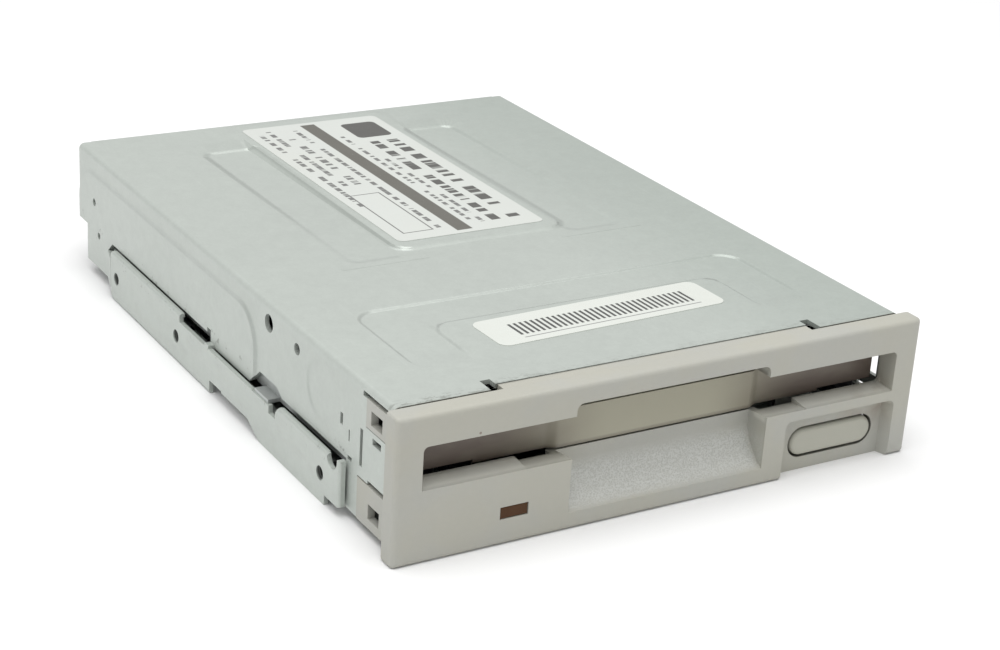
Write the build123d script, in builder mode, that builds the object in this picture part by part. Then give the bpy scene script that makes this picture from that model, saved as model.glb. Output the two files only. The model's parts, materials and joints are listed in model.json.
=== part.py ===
from build123d import *
import os
from math import cos, pi, radians, sin

os.makedirs("parts", exist_ok=True)

# A floppy disk drive for 3.5-inch disks, one inch high, in millimetres.
# X runs along the bezel, Y from the bezel's face to the rear, Z up from the rails' lower edge.
# The origin is the middle of the drive at that lower edge.

# the disk that the drive takes
DISK_W = 90.0
DISK_L = 94.0
DISK_T = 3.3
HUB_TO_EDGE = 48.0          # hub to the disk's rear edge
TRACK_OUT = 39.5            # radius of the outermost track
TRAVEL = 14.8               # outermost to innermost track

# sheet and board thicknesses
SHEET = 0.8                 # frame
DECK_T = 0.7
SLIDE_T = 0.7
HOLDER_T = 0.6
FLOOR_T = 0.6               # bottom cover
MOTOR_BOARD_T = 1.0
MAIN_BOARD_T = 1.6

# from the disk outwards to the rails
SIDE_PLAY = 0.4             # disk to holder
HOLDER_GAP = 0.5            # holder to slide
SLIDE_PLAY = 0.35           # slide to deck flange
DECK_GAP = 0.15             # deck flange to frame wall
RAIL_STEP = 1.6             # how far the rails stand out of the walls
BAY_X = DISK_W / 2 + SIDE_PLAY
HOLDER_X = BAY_X + HOLDER_T
SLIDE_IN = HOLDER_X + HOLDER_GAP
SLIDE_X = SLIDE_IN + SLIDE_T
DECK_IN = SLIDE_X + SLIDE_PLAY
DECK_X = DECK_IN + DECK_T
WALL_IN = DECK_X + DECK_GAP
WALL_X = WALL_IN + SHEET
RAIL_X = WALL_X + RAIL_STEP
WIDTH = 2 * RAIL_X

# from the bottom cover upwards to the roof
FLOOR_Z = 1.6               # underside of the bottom cover
BOARD_GAP = 1.2             # bottom cover to motor board
ROTOR_GAP = 0.5             # motor board to rotor skirt
ROTOR_H = 2.7
DECK_OVER_ROTOR = 0.7
SLIDE_GAP = 0.9             # deck to slide plate
LIP_GAP = 1.1               # slide plate to the lowered holder
DROP = 2.8                  # how far the holder sinks with a disk
BAY_H = 4.4                 # inside height of the holder
ARM_ROOM = 4.2              # holder to roof
ROOF_TO_BEZEL = 0.3         # roof to the bezel's top edge
BOARD_Z = FLOOR_Z + FLOOR_T + BOARD_GAP
BOARD_TOP = BOARD_Z + MOTOR_BOARD_T
ROTOR_Z = BOARD_TOP + ROTOR_GAP
ROTOR_TOP = ROTOR_Z + ROTOR_H
DECK_Z = ROTOR_TOP + DECK_OVER_ROTOR
DECK_TOP = DECK_Z + DECK_T
SLIDE_Z = DECK_TOP + SLIDE_GAP
SLIDE_TOP = SLIDE_Z + SLIDE_T
DISK_DOWN = SLIDE_TOP + LIP_GAP + HOLDER_T      # underside of a loaded disk
BAY_Z = DISK_DOWN + DROP                        # underside of a disk on its way in
LIP_Z = BAY_Z - HOLDER_T
HOLDER_TOP = BAY_Z + BAY_H + HOLDER_T
ROOF_IN = HOLDER_TOP + ARM_ROOM
TOP_Z = ROOF_IN + SHEET
HEIGHT = TOP_Z + ROOF_TO_BEZEL

# from the bezel's face to the rear
BEZEL_T = 4.15
BEZEL_JOINT = 0.25          # bezel to frame
DOOR_BEHIND = 2.25          # bezel's back to the door's axis
DOOR_CLEAR = 0.45           # door's sweep to the holder
DISK_IN = 5.0               # rear edge of a loaded disk
HOLDER_BACK = 1.5           # disk's front edge to the end of the holder
SCREW_AHEAD = 1.0           # holder to the screw's front bearing
UPRIGHT_T = 1.0             # bracket's uprights
FOLLOWER_L = 2.0
RUN_OUT = 1.0               # follower to an upright at the end of its travel
STEPPER_L = 13.5
REAR_ROOM = 4.2             # stepper to the rear edge
FRAME_FRONT = BEZEL_T + BEZEL_JOINT
DOOR_Y = BEZEL_T + DOOR_BEHIND
SPINDLE_Y = DISK_IN + HUB_TO_EDGE
HEAD_Y = SPINDLE_Y + TRACK_OUT
HOLDER_END = DISK_IN + DISK_L + HOLDER_BACK
SCREW_FRONT = HOLDER_END + SCREW_AHEAD
SCREW_BACK = SCREW_FRONT + UPRIGHT_T + TRAVEL + FOLLOWER_L + 2 * RUN_OUT
STEPPER_Y = SCREW_BACK + UPRIGHT_T
DEPTH = STEPPER_Y + STEPPER_L + REAR_ROOM

# fits
RUN_FIT = 0.05              # turning and sliding pieces, on the radius
SLOT_FIT = 0.15             # pins in slots, each side
FREE = 0.4                  # open gap between moving pieces
FLATS = 12                  # sides of small fasteners


def y_at(depth):
    """Y of a place this far behind the bezel's face."""
    return depth - DEPTH / 2


def block(x0, x1, d0, d1, z0, z1, mode=Mode.ADD):
    """A box between two limits across, two depths and two heights."""
    with Locations(((x0 + x1) / 2, y_at((d0 + d1) / 2), (z0 + z1) / 2)):
        Box(x1 - x0, d1 - d0, z1 - z0, mode=mode)


def post(x, depth, z0, z1, radius, mode=Mode.ADD):
    """An upright round post."""
    with Locations((x, y_at(depth), (z0 + z1) / 2)):
        Cylinder(radius, z1 - z0, mode=mode)


def across(x0, x1, depth, z, radius, mode=Mode.ADD):
    """A round bar along X."""
    with Locations(((x0 + x1) / 2, y_at(depth), z)):
        Cylinder(radius, x1 - x0, rotation=(0, 90, 0), mode=mode)


def along(x, d0, d1, z, radius, mode=Mode.ADD):
    """A round bar along Y."""
    with Locations((x, y_at((d0 + d1) / 2), z)):
        Cylinder(radius, d1 - d0, rotation=(90, 0, 0), mode=mode)


def bolt(x, depth, z0, z1, radius, mode=Mode.ADD):
    """A small fastener's upright post, kept to a few flats."""
    turns = [2 * pi * k / FLATS for k in range(FLATS)]
    ring = [Vector(x + radius * cos(a), y_at(depth) + radius * sin(a), z0) for a in turns]
    add(Solid.extrude(Face(Wire.make_polygon(ring)), Vector(0, 0, z1 - z0)), mode=mode)


def face_at(depth):
    """A plane parallel to the bezel, seen from the front."""
    return Plane.XZ.offset(-y_at(depth))


def save(piece, name):
    piece.part.label = name
    export_step(piece.part, "parts/" + name + ".step")


# mounting rails, pushed out of the walls and tapped for the side screws
HOLE_FROM_BEZEL = 21.0      # first hole behind the bezel's back
HOLE_SECOND = 60.0          # from the first hole
HOLE_THIRD = 90.0
HOLE_Z = 5.0
HOLE_R = 1.25               # tapped for a 3 mm screw
COLLAR_R = 2.1
COLLAR_L = 1.1
RAIL_LEAD = 6.75            # rail ahead of its first hole
RAIL_TAIL = 3.45            # rail behind its last hole
RAIL_H = 10.0               # rear part
RAIL_FRONT_H = 9.5
RAIL_MID_H = 8.4
RAIL_MID_Z = 2.3            # lower edge between the two parts
RAIL_ROLL = 1.05            # inward roll of the upper edges
TOE_L = 5.0                 # rail's front end is cut short below
TOE_Z = 1.8
TOE_GAP = 0.4               # turned-in end to the wall
HOLE_1 = BEZEL_T + HOLE_FROM_BEZEL
HOLE_2 = HOLE_1 + HOLE_SECOND
HOLE_3 = HOLE_1 + HOLE_THIRD
RAIL_FRONT = HOLE_1 - RAIL_LEAD
RAIL_END = HOLE_3 + RAIL_TAIL
FRONT_BAR_END = HOLE_1 + 23.6
SLOPE_END = FRONT_BAR_END + 4.6
REAR_BAR = HOLE_2 - 15.4
NOTCH_D = 5.3
STEP_D = REAR_BAR + 13.7
LUG_D = HOLE_1 + 23.3       # middle of the deck's lugs
LUG_L = 5.4
LUG_PLAY = 0.4
BRIDGE_D = REAR_BAR + 1.4
BRIDGE_L = 1.6

with BuildPart() as rail:
    with BuildSketch(Plane.YZ.offset(-RAIL_X)) as blank:
        with BuildLine():
            Polyline(
                (y_at(RAIL_FRONT), 0),
                (y_at(FRONT_BAR_END), 0),
                (y_at(SLOPE_END), RAIL_MID_Z),
                (y_at(REAR_BAR), RAIL_MID_Z),
                (y_at(REAR_BAR), 0),
                (y_at(RAIL_END), 0),
                (y_at(RAIL_END), RAIL_H),
                (y_at(STEP_D), RAIL_H),
                (y_at(STEP_D), RAIL_MID_H),
                (y_at(LUG_D - 6.4), RAIL_MID_H),
                (y_at(LUG_D - 7.2), RAIL_FRONT_H),
                (y_at(RAIL_FRONT), RAIL_FRONT_H),
                close=True,
            )
        make_face()
        fillet(blank.vertices().group_by(Axis.X)[-1], 1.2)
        fillet(blank.vertices().sort_by(Axis.Y)[-1:], 0.6)
        # notches of the stamping
        with Locations((y_at(REAR_BAR - NOTCH_D / 2), RAIL_MID_Z)):
            Rectangle(NOTCH_D, 0.6, mode=Mode.SUBTRACT)
        with Locations((y_at(LUG_D), RAIL_MID_H)):
            Rectangle(LUG_L + 2 * LUG_PLAY, 2 * (RAIL_MID_H - DECK_Z), mode=Mode.SUBTRACT)
        with Locations((y_at(LUG_D - 4.9), RAIL_MID_H)):
            Rectangle(2.6, 2.8, mode=Mode.SUBTRACT)
        with Locations((y_at(RAIL_FRONT + SHEET + 1.8), RAIL_FRONT_H)):
            Circle(1.8, mode=Mode.SUBTRACT)
        with Locations((y_at(RAIL_FRONT + TOE_L / 2), 0)):
            Rectangle(TOE_L, 2 * TOE_Z, mode=Mode.SUBTRACT)
        with Locations((y_at(HOLE_1), HOLE_Z), (y_at(HOLE_2), HOLE_Z), (y_at(HOLE_3), HOLE_Z)):
            Circle(HOLE_R, mode=Mode.SUBTRACT)
    extrude(amount=SHEET)
    # upper edges rolled towards the wall
    block(-RAIL_X, -RAIL_X + RAIL_ROLL, STEP_D, RAIL_END - 1.2, RAIL_H - SHEET, RAIL_H)
    block(-RAIL_X, -RAIL_X + RAIL_ROLL, RAIL_FRONT + 5.0, LUG_D - 7.4,
          RAIL_FRONT_H - SHEET, RAIL_FRONT_H)
    rolls = rail.edges().filter_by(Axis.Y).group_by(Axis.X)[0].filter_by(
        lambda e: e.center().Z > RAIL_FRONT_H - 0.1 and e.length > 10)
    fillet(rolls, 0.65)
    # tapped collars behind the holes
    with BuildSketch(Plane.YZ.offset(-RAIL_X + SHEET)):
        with Locations((y_at(HOLE_1), HOLE_Z), (y_at(HOLE_2), HOLE_Z), (y_at(HOLE_3), HOLE_Z)):
            Circle(COLLAR_R)
            Circle(HOLE_R, mode=Mode.SUBTRACT)
    extrude(amount=COLLAR_L)
    # front end turned in towards the wall
    block(-RAIL_X, -WALL_X - TOE_GAP, RAIL_FRONT, RAIL_FRONT + SHEET, TOE_Z, RAIL_FRONT_H + 0.5)
    fillet(rail.edges().filter_by(Axis.Z).group_by(Axis.Y)[0].sort_by(Axis.X)[:1], 0.6)
    # narrow bridge left between two of the slots
    block(-RAIL_X, -WALL_IN, BRIDGE_D - BRIDGE_L / 2, BRIDGE_D + BRIDGE_L / 2,
          RAIL_MID_H - SHEET, RAIL_MID_H + 0.6)
    # joggle back to the wall at the rear
    with BuildSketch(Plane.XY.offset(RAIL_MID_Z)):
        with BuildLine():
            Polyline(
                (-RAIL_X, y_at(RAIL_END)),
                (-WALL_X, y_at(RAIL_END + 5.6)),
                (-WALL_X, y_at(RAIL_END + 7.0)),
                (-WALL_IN, y_at(RAIL_END + 7.0)),
                (-WALL_IN, y_at(RAIL_END + 5.4)),
                (-RAIL_X + SHEET, y_at(RAIL_END - 0.4)),
                (-RAIL_X, y_at(RAIL_END - 0.4)),
                close=True,
            )
        make_face()
    extrude(amount=RAIL_MID_H - RAIL_MID_Z)

# top frame: roof and walls folded from one sheet, with pressed panels
WALL_LOW = 1.6              # lower edge of the walls behind the bezel
WALL_REAR_LOW = 2.5
REAR_STEP = 6.0             # rear end of the lower wall, ahead of the rear edge
REAR_STEP_Z = 10.0
REAR_LIP = 4.2
REAR_LIP_SIDE = 2.0         # folded rear edge to the walls
BEND_R = 1.1
PANEL_X = 17.4              # raised label panel, half width
PANEL_D0 = 63.0
PANEL_D1 = 138.0
PANEL_RISE = 0.3            # at its front end, nothing at its rear
STRIP_X0 = 17.0             # pressed strips beside the panel
STRIP_X1 = 28.2
STRIP_D0 = 60.0
STRIP_D1 = 126.0
STRIP_FALL = 0.8            # at their rear end, nothing at the front
GROOVE_X = 38.4             # pressed groove near the bezel
GROOVE_IN = 28.8
GROOVE_D0 = 15.4
GROOVE_D1 = 39.4
GROOVE_BACK = 8.4
GROOVE_T = 0.3
TONGUE_X = 30.4             # bezel's tongue in the roof's front edge
TONGUE_D = 6.0
ARM_UP_Z0 = 18.5            # bezel's snap arms
ARM_UP_Z1 = 23.3
ARM_UP_D = 12.7
ARM_LOW_Z1 = 8.8
ARM_LOW_D = 15.0
ARM_FIT = 0.2
ARM_OVER = 0.8              # open over the arms
ARM_SLIT = 1.4
ARM_GRIP = 3.2
DIMPLE = (28.6, 17.9, 4.9)  # round pressing behind the arms: depth, height and radius
DIMPLE_T = 0.2
SCREW_HOLE = (48.7, 21.6, 1.6)      # depth, height and radius
PILOT_HOLE = (37.8, 21.3, 1.05)
PAD_RISE = 0.4              # raised rear part of the walls
PAD_D = 52.4
PAD_Z = 21.8
panel_slope = PANEL_RISE / (PANEL_D1 - PANEL_D0)
strip_slope = STRIP_FALL / (STRIP_D1 - STRIP_D0)
panel_plane = Plane(
    origin=(0, y_at(PANEL_D1), TOP_Z), x_dir=(1, 0, 0), z_dir=(0, panel_slope, 1))
strip_plane = Plane(
    origin=(0, y_at(STRIP_D0), TOP_Z), x_dir=(1, 0, 0), z_dir=(0, strip_slope, 1))

with BuildPart() as top_frame:
    with BuildSketch(face_at(DEPTH - SHEET)) as fold:
        with BuildLine():
            Polyline(
                (-WALL_X, WALL_LOW),
                (-WALL_X, TOP_Z),
                (WALL_X, TOP_Z),
                (WALL_X, WALL_LOW),
                (WALL_IN, WALL_LOW),
                (WALL_IN, ROOF_IN),
                (-WALL_IN, ROOF_IN),
                (-WALL_IN, WALL_LOW),
                close=True,
            )
        make_face()
        fillet(fold.vertices().group_by(Axis.Y)[-1], BEND_R)
        fillet(fold.vertices().group_by(Axis.Y)[1], BEND_R - SHEET)
    extrude(amount=DEPTH - SHEET - FRAME_FRONT)
    # rear part of each wall stands out a little, with a rounded corner
    for side in (-1, 1):
        with BuildSketch(Plane.YZ.offset(side * WALL_X)) as pad:
            with Locations((y_at((PAD_D + DEPTH) / 2), PAD_Z / 2)):
                Rectangle(DEPTH - PAD_D - 2 * SHEET, PAD_Z)
            fillet(pad.vertices().group_by(Axis.Y)[-1], 7.5)
        extrude(amount=side * PAD_RISE, taper=60)
        with BuildSketch(Plane.YZ.offset(side * (WALL_X - DIMPLE_T))):
            with Locations((y_at(DIMPLE[0]), DIMPLE[1])):
                Circle(DIMPLE[2])
        extrude(amount=side * 2 * DIMPLE_T, taper=-70, mode=Mode.SUBTRACT)
    # outline of the walls' lower edges, and the slots between walls and rails
    with BuildSketch(Plane.YZ) as lower_edge:
        with BuildLine():
            Polyline(
                (y_at(RAIL_FRONT + SHEET), -1),
                (y_at(RAIL_FRONT + SHEET), RAIL_H + 0.1),
                (y_at(LUG_D - 5.4), RAIL_H + 0.1),
                (y_at(LUG_D - 3.4), RAIL_H + 1.4),
                (y_at(LUG_D + 3.6), RAIL_H + 1.4),
                (y_at(LUG_D + 6.8), RAIL_MID_H),
                (y_at(BRIDGE_D + 0.8), RAIL_MID_H),
                (y_at(BRIDGE_D + 0.8), RAIL_H + 1.2),
                (y_at(BRIDGE_D + 2.4), RAIL_H + 1.2),
                (y_at(BRIDGE_D + 2.4), RAIL_H + 0.3),
                (y_at(RAIL_END + 1.6), RAIL_H + 0.3),
                (y_at(RAIL_END + 3.8), RAIL_MID_H),
                (y_at(RAIL_END + 3.8), WALL_REAR_LOW),
                (y_at(DEPTH - REAR_STEP), WALL_REAR_LOW),
                (y_at(DEPTH - REAR_STEP), REAR_STEP_Z),
                (y_at(DEPTH + 1), REAR_STEP_Z),
                (y_at(DEPTH + 1), -1),
                close=True,
            )
        make_face()
    extrude(amount=WIDTH, both=True, mode=Mode.SUBTRACT)
    # roof folded down along the rear edge
    block(-WALL_IN + REAR_LIP_SIDE, WALL_IN - REAR_LIP_SIDE, DEPTH - 2 * SHEET, DEPTH,
          TOP_Z - REAR_LIP, TOP_Z)
    block(-WALL_IN + REAR_LIP_SIDE, WALL_IN - REAR_LIP_SIDE, DEPTH - 2 * SHEET - 1, DEPTH - SHEET,
          TOP_Z - REAR_LIP - 1, ROOF_IN, mode=Mode.SUBTRACT)
    fillet(top_frame.edges().filter_by(Axis.X).group_by(Axis.Y)[-1].sort_by(Axis.Z)[-1:], 0.7)
    # metal under the pressed strips, then the strips themselves
    with BuildSketch(strip_plane.offset(-SHEET)):
        with Locations(((STRIP_X0 + STRIP_X1) / 2, (STRIP_D1 - STRIP_D0) / 2),
                       (-(STRIP_X0 + STRIP_X1) / 2, (STRIP_D1 - STRIP_D0) / 2)):
            Rectangle(STRIP_X1 - STRIP_X0 + 6, STRIP_D1 - STRIP_D0 + 5)
    extrude(amount=SHEET)
    with BuildSketch(strip_plane):
        with Locations(((STRIP_X0 + STRIP_X1) / 2, (STRIP_D1 - STRIP_D0) / 2),
                       (-(STRIP_X0 + STRIP_X1) / 2, (STRIP_D1 - STRIP_D0) / 2)):
            RectangleRounded(STRIP_X1 - STRIP_X0, STRIP_D1 - STRIP_D0, 2.0)
    extrude(amount=STRIP_FALL + 0.2, taper=-78, mode=Mode.SUBTRACT)
    # raised label panel, highest at its front
    with BuildSketch(panel_plane):
        with Locations((0, -(PANEL_D1 - PANEL_D0) / 2)):
            RectangleRounded(2 * PANEL_X, PANEL_D1 - PANEL_D0, 3.0)
    extrude(amount=-(PANEL_RISE + SHEET), taper=-50)
    # groove pressed near the bezel, its two ends round
    with BuildSketch(Plane.XY.offset(TOP_Z - GROOVE_T)) as groove:
        with Locations((0, y_at((GROOVE_D0 + GROOVE_D1) / 2))):
            Rectangle(2 * GROOVE_X, GROOVE_D1 - GROOVE_D0)
        with Locations((0, y_at(GROOVE_D0 / 2 + (GROOVE_D1 - GROOVE_BACK) / 2))):
            Rectangle(2 * GROOVE_IN, GROOVE_D1 - GROOVE_BACK - GROOVE_D0, mode=Mode.SUBTRACT)
        fillet(groove.vertices().group_by(Axis.Y)[0], 4.0)
        fillet(groove.vertices().group_by(Axis.Y)[-1], 3.5)
    extrude(amount=2 * GROOVE_T, taper=-60, mode=Mode.SUBTRACT)
    # front edge of the roof: room for the bezel's tongue, and two relief cuts
    block(-TONGUE_X, TONGUE_X, FRAME_FRONT - 1, TONGUE_D + BEZEL_JOINT, ROOF_IN - 1, TOP_Z + 1,
          mode=Mode.SUBTRACT)
    for side in (-1, 1):
        block(side * TONGUE_X - 0.9 + side * 0.9, side * TONGUE_X + 0.9 + side * 0.9,
              FRAME_FRONT - 1, TONGUE_D + 2.1, ROOF_IN - 1, TOP_Z + 1, mode=Mode.SUBTRACT)
    # seats of the bezel's arms
    block(-WIDTH, WIDTH, FRAME_FRONT - 1, ARM_UP_D + ARM_FIT, ARM_UP_Z0 - ARM_FIT, ARM_UP_Z1 + ARM_OVER,
          mode=Mode.SUBTRACT)
    block(-WIDTH, WIDTH, FRAME_FRONT - 1, ARM_UP_D + ARM_SLIT, ARM_UP_Z1 - 0.1, ARM_UP_Z1 + ARM_OVER,
          mode=Mode.SUBTRACT)
    block(-WIDTH, WIDTH, FRAME_FRONT - 1, ARM_LOW_D + ARM_FIT, -1, ARM_LOW_Z1 + ARM_FIT,
          mode=Mode.SUBTRACT)
    block(-WIDTH, WIDTH, FRAME_FRONT - 1, ARM_LOW_D - ARM_GRIP, ARM_LOW_Z1, ARM_LOW_Z1 + ARM_OVER,
          mode=Mode.SUBTRACT)
    # small cuts in the front of the walls
    block(-WIDTH, 0, 7.8, 10.6, 16.3, 17.4, mode=Mode.SUBTRACT)
    block(0, WIDTH, 7.0, 10.8, 12.0, 17.4, mode=Mode.SUBTRACT)
    block(-WIDTH, WIDTH, 13.8, 14.7, 10.9, 17.4, mode=Mode.SUBTRACT)
    block(-WIDTH, WIDTH, 17.3, 18.7, 10.2, 10.9, mode=Mode.SUBTRACT)
    block(-WIDTH, WIDTH, 20.7, 21.6, 15.2, 17.2, mode=Mode.SUBTRACT)
    block(-WIDTH, WIDTH, 18.2, 18.6, 13.4, 15.4, mode=Mode.SUBTRACT)
    # screw hole and pilot hole near the top, and two small ones at the rear
    for depth, z, radius in (SCREW_HOLE, PILOT_HOLE, (130.0, 15.7, 0.8), (127.6, 9.4, 0.7)):
        across(-WIDTH, WIDTH, depth, z, radius, mode=Mode.SUBTRACT)
    add(rail.part)
    mirror(rail.part, about=Plane.YZ)
save(top_frame, "top_frame")

# bezel: moulded front
SLOT_SIDE = 0.7             # slot wider than the bay, each side
SLOT_BELOW = 2.1            # slot below a disk on its way in
SLOT_ABOVE = 1.6
LIP_FALL = 0.4              # bevel of the slot's lower lip
LIP_MID_X = 27.5            # lip is low in the middle
LIP_MID_FALL = 0.9          # and falls towards the rear there
LIP_SET = 0.75              # lip's crest ahead of the bezel's back
THUMB_X = 18.9              # finger notch over the slot
THUMB_H = 2.1
SCOOP_X = 19.2              # finger scoop under the slot
SCOOP_DEEP = 5.0
SCOOP_Z = 3.1
SCOOP_WALL = 1.4
RECESS_X0 = 23.55           # button recess, open below
RECESS_X1 = 47.0
RECESS_Z = 10.8
RECESS_DEEP = 2.3
BUTTON_X = 35.4
BUTTON_Z = 5.2
BUTTON_W = 17.4
BUTTON_H = 4.9
BUTTON_PROUD = 0.35         # button's face over the recess floor
BUTTON_GAP = 0.4
LENS_X = -29.3
LENS_Z = 5.67
LENS_W = 5.05
LENS_H = 2.05
LENS_L = 5.2
ARM_T = 1.3
BACK_ROUND = 0.8            # upper edge at the bezel's back
TONGUE_DOWN = 0.8           # tongue below the roof's underside
TONGUE_SINK = 0.05          # tongue below the roof's top
DOOR_PIN_R = 0.8
EAR_T = 1.6
EAR_R = 1.9
DOOR_UP = 1.6               # door's axis over the slot
SLOT_X = BAY_X + SLOT_SIDE
SLOT_Z0 = BAY_Z - SLOT_BELOW
SLOT_Z1 = BAY_Z + DISK_T + SLOT_ABOVE
LIP_Z0 = SLOT_Z0 - LIP_FALL
LIP_MID_Z = LIP_Z0 - LIP_MID_FALL
BUTTON_FACE = RECESS_DEEP - BUTTON_PROUD
DOOR_Z = SLOT_Z1 + DOOR_UP
ARM_X = WALL_X + 0.1
EAR_X = SLOT_X

with BuildPart() as bezel:
    with BuildSketch(face_at(BEZEL_T)):
        with Locations((0, HEIGHT / 2)):
            Rectangle(WIDTH, HEIGHT)
    extrude(amount=BEZEL_T)
    fillet(bezel.edges().filter_by(Axis.Y), 0.6)
    fillet(bezel.faces().sort_by(Axis.Y)[0].edges(), 0.9)
    fillet(bezel.edges().filter_by(Axis.X).group_by(Axis.Y)[-1].sort_by(Axis.Z)[-1:], BACK_ROUND)
    # tongue in the roof's front edge, and the wall behind the scoop
    block(-TONGUE_X + BEZEL_JOINT, TONGUE_X - BEZEL_JOINT, BEZEL_T - BACK_ROUND, TONGUE_D,
          ROOF_IN - TONGUE_DOWN, TOP_Z - TONGUE_SINK)
    block(-SCOOP_X - SCOOP_WALL, SCOOP_X + SCOOP_WALL, BEZEL_T - 1, SCOOP_DEEP + SCOOP_WALL,
          SCOOP_Z, LIP_Z0)
    fillet(bezel.edges().filter_by(Axis.Z).group_by(Axis.Y)[-1], 1.0)
    # snap arms beside the frame, with a window for the frame's edge
    for side in (-1, 1):
        inner = side * (ARM_X - ARM_T)
        outer = side * ARM_X
        x0, x1 = min(inner, outer), max(inner, outer)
        block(x0, x1, BEZEL_T - 1, ARM_UP_D, ARM_UP_Z0, ARM_UP_Z1)
        block(x0, x1, BEZEL_T - 1, ARM_LOW_D, WALL_LOW, ARM_LOW_Z1)
        block(x0 - 1, x1 + 1, 7.4, 11.1, 19.4, 21.8, mode=Mode.SUBTRACT)
        block(x0 - 1, x1 + 1, 7.4, 11.1, 3.2, 5.8, mode=Mode.SUBTRACT)
        # ears for the door's pins
        ear0 = side * EAR_X
        ear1 = side * (EAR_X + EAR_T)
        with BuildSketch(Plane.YZ.offset(min(ear0, ear1))):
            with Locations((y_at(DOOR_Y), DOOR_Z)):
                Circle(EAR_R)
            with Locations((y_at((BEZEL_T - 0.5 + DOOR_Y) / 2), DOOR_Z)):
                Rectangle(DOOR_Y - BEZEL_T + 0.5, 2 * EAR_R)
            with Locations((y_at(DOOR_Y), DOOR_Z)):
                Circle(DOOR_PIN_R + RUN_FIT, mode=Mode.SUBTRACT)
        extrude(amount=EAR_T)
    # disk slot with a bevelled lower lip, low in the middle
    with BuildSketch(face_at(-1)):
        with Locations((0, (SLOT_Z0 + SLOT_Z1) / 2)):
            RectangleRounded(2 * SLOT_X, SLOT_Z1 - SLOT_Z0, 0.9)
    extrude(amount=-(BEZEL_T + 8), mode=Mode.SUBTRACT)
    with BuildSketch(Plane.YZ):
        with BuildLine():
            Polyline(
                (y_at(0), LIP_Z0),
                (y_at(BEZEL_T - LIP_SET), SLOT_Z0),
                (y_at(BEZEL_T - LIP_SET), SLOT_Z0 + 2),
                (y_at(-1), SLOT_Z0 + 2),
                (y_at(-1), LIP_Z0 - 0.3),
                close=True,
            )
        make_face()
    extrude(amount=SLOT_X, both=True, mode=Mode.SUBTRACT)
    with BuildSketch(Plane.YZ):
        with BuildLine():
            Polyline(
                (y_at(0), LIP_Z0),
                (y_at(SCOOP_DEEP + SCOOP_WALL + 1), LIP_MID_Z),
                (y_at(SCOOP_DEEP + SCOOP_WALL + 1), SLOT_Z0 + 1),
                (y_at(-1), SLOT_Z0 + 1),
                (y_at(-1), LIP_Z0),
                close=True,
            )
        make_face()
    extrude(amount=LIP_MID_X, both=True, mode=Mode.SUBTRACT)
    # finger notch over the slot
    with BuildSketch(face_at(-1)) as thumb:
        with Locations((0, SLOT_Z1 + THUMB_H / 2 - 1)):
            Rectangle(2 * THUMB_X, THUMB_H + 2)
        fillet(thumb.vertices().group_by(Axis.Y)[-1], 1.2)
    extrude(amount=-(BEZEL_T + 1), mode=Mode.SUBTRACT)
    # finger scoop: a curved floor that runs out to the face
    with BuildSketch(Plane.YZ):
        with BuildLine():
            ThreePointArc(
                (y_at(0), SCOOP_Z),
                (y_at(0.64 * SCOOP_DEEP), SCOOP_Z + 0.3 * (LIP_Z0 - SCOOP_Z)),
                (y_at(SCOOP_DEEP), SCOOP_Z + 0.65 * (LIP_Z0 - SCOOP_Z)),
            )
            Polyline(
                (y_at(SCOOP_DEEP), SCOOP_Z + 0.65 * (LIP_Z0 - SCOOP_Z)),
                (y_at(SCOOP_DEEP), LIP_Z0 + 0.1),
                (y_at(-1), LIP_Z0 + 0.1),
                (y_at(-1), SCOOP_Z - 0.2),
                (y_at(0), SCOOP_Z),
            )
        make_face()
    extrude(amount=SCOOP_X, both=True, mode=Mode.SUBTRACT)
    # button recess with sloped sides, and the button's opening
    with BuildSketch(face_at(0)) as recess:
        with Locations(((RECESS_X0 + RECESS_X1) / 2, RECESS_Z / 2 - 2)):
            Rectangle(RECESS_X1 - RECESS_X0, RECESS_Z + 4)
        fillet(recess.vertices().group_by(Axis.Y)[-1], 1.2)
    extrude(amount=-RECESS_DEEP, taper=18, mode=Mode.SUBTRACT)
    with BuildSketch(face_at(0)):
        with Locations((BUTTON_X, BUTTON_Z)):
            SlotOverall(BUTTON_W + 2 * BUTTON_GAP, BUTTON_H + 2 * BUTTON_GAP)
    extrude(amount=-(BEZEL_T + 1), mode=Mode.SUBTRACT)
    # window of the indicator
    block(LENS_X - LENS_W / 2 - RUN_FIT, LENS_X + LENS_W / 2 + RUN_FIT, -1, BEZEL_T + 1,
          LENS_Z - LENS_H / 2 - RUN_FIT, LENS_Z + LENS_H / 2 + RUN_FIT, mode=Mode.SUBTRACT)
save(bezel, "bezel")

# indicator: a lens in the bezel and a lamp on the motor board behind it
LAMP_L = 4.0
LAMP_R = 1.25

with BuildPart() as led_lens:
    block(LENS_X - LENS_W / 2, LENS_X + LENS_W / 2, 0.1, LENS_L,
          LENS_Z - LENS_H / 2, LENS_Z + LENS_H / 2)
    fillet(led_lens.faces().sort_by(Axis.Y)[0].edges(), 0.2)
    # collar behind the bezel
    block(LENS_X - LENS_W / 2 - 0.8, LENS_X + LENS_W / 2 + 0.8, BEZEL_T, LENS_L,
          LENS_Z - LENS_H / 2 - 0.2, LENS_Z + LENS_H / 2 + 0.8)
save(led_lens, "led_lens")

with BuildPart() as led_lamp:
    block(LENS_X - LAMP_R, LENS_X + LAMP_R, LENS_L + 1.2, LENS_L + LAMP_L,
          BOARD_TOP, LENS_Z + LAMP_R)
    along(LENS_X, LENS_L + 0.1, LENS_L + 1.4, LENS_Z, 1.0)
save(led_lamp, "led_lamp")

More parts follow.
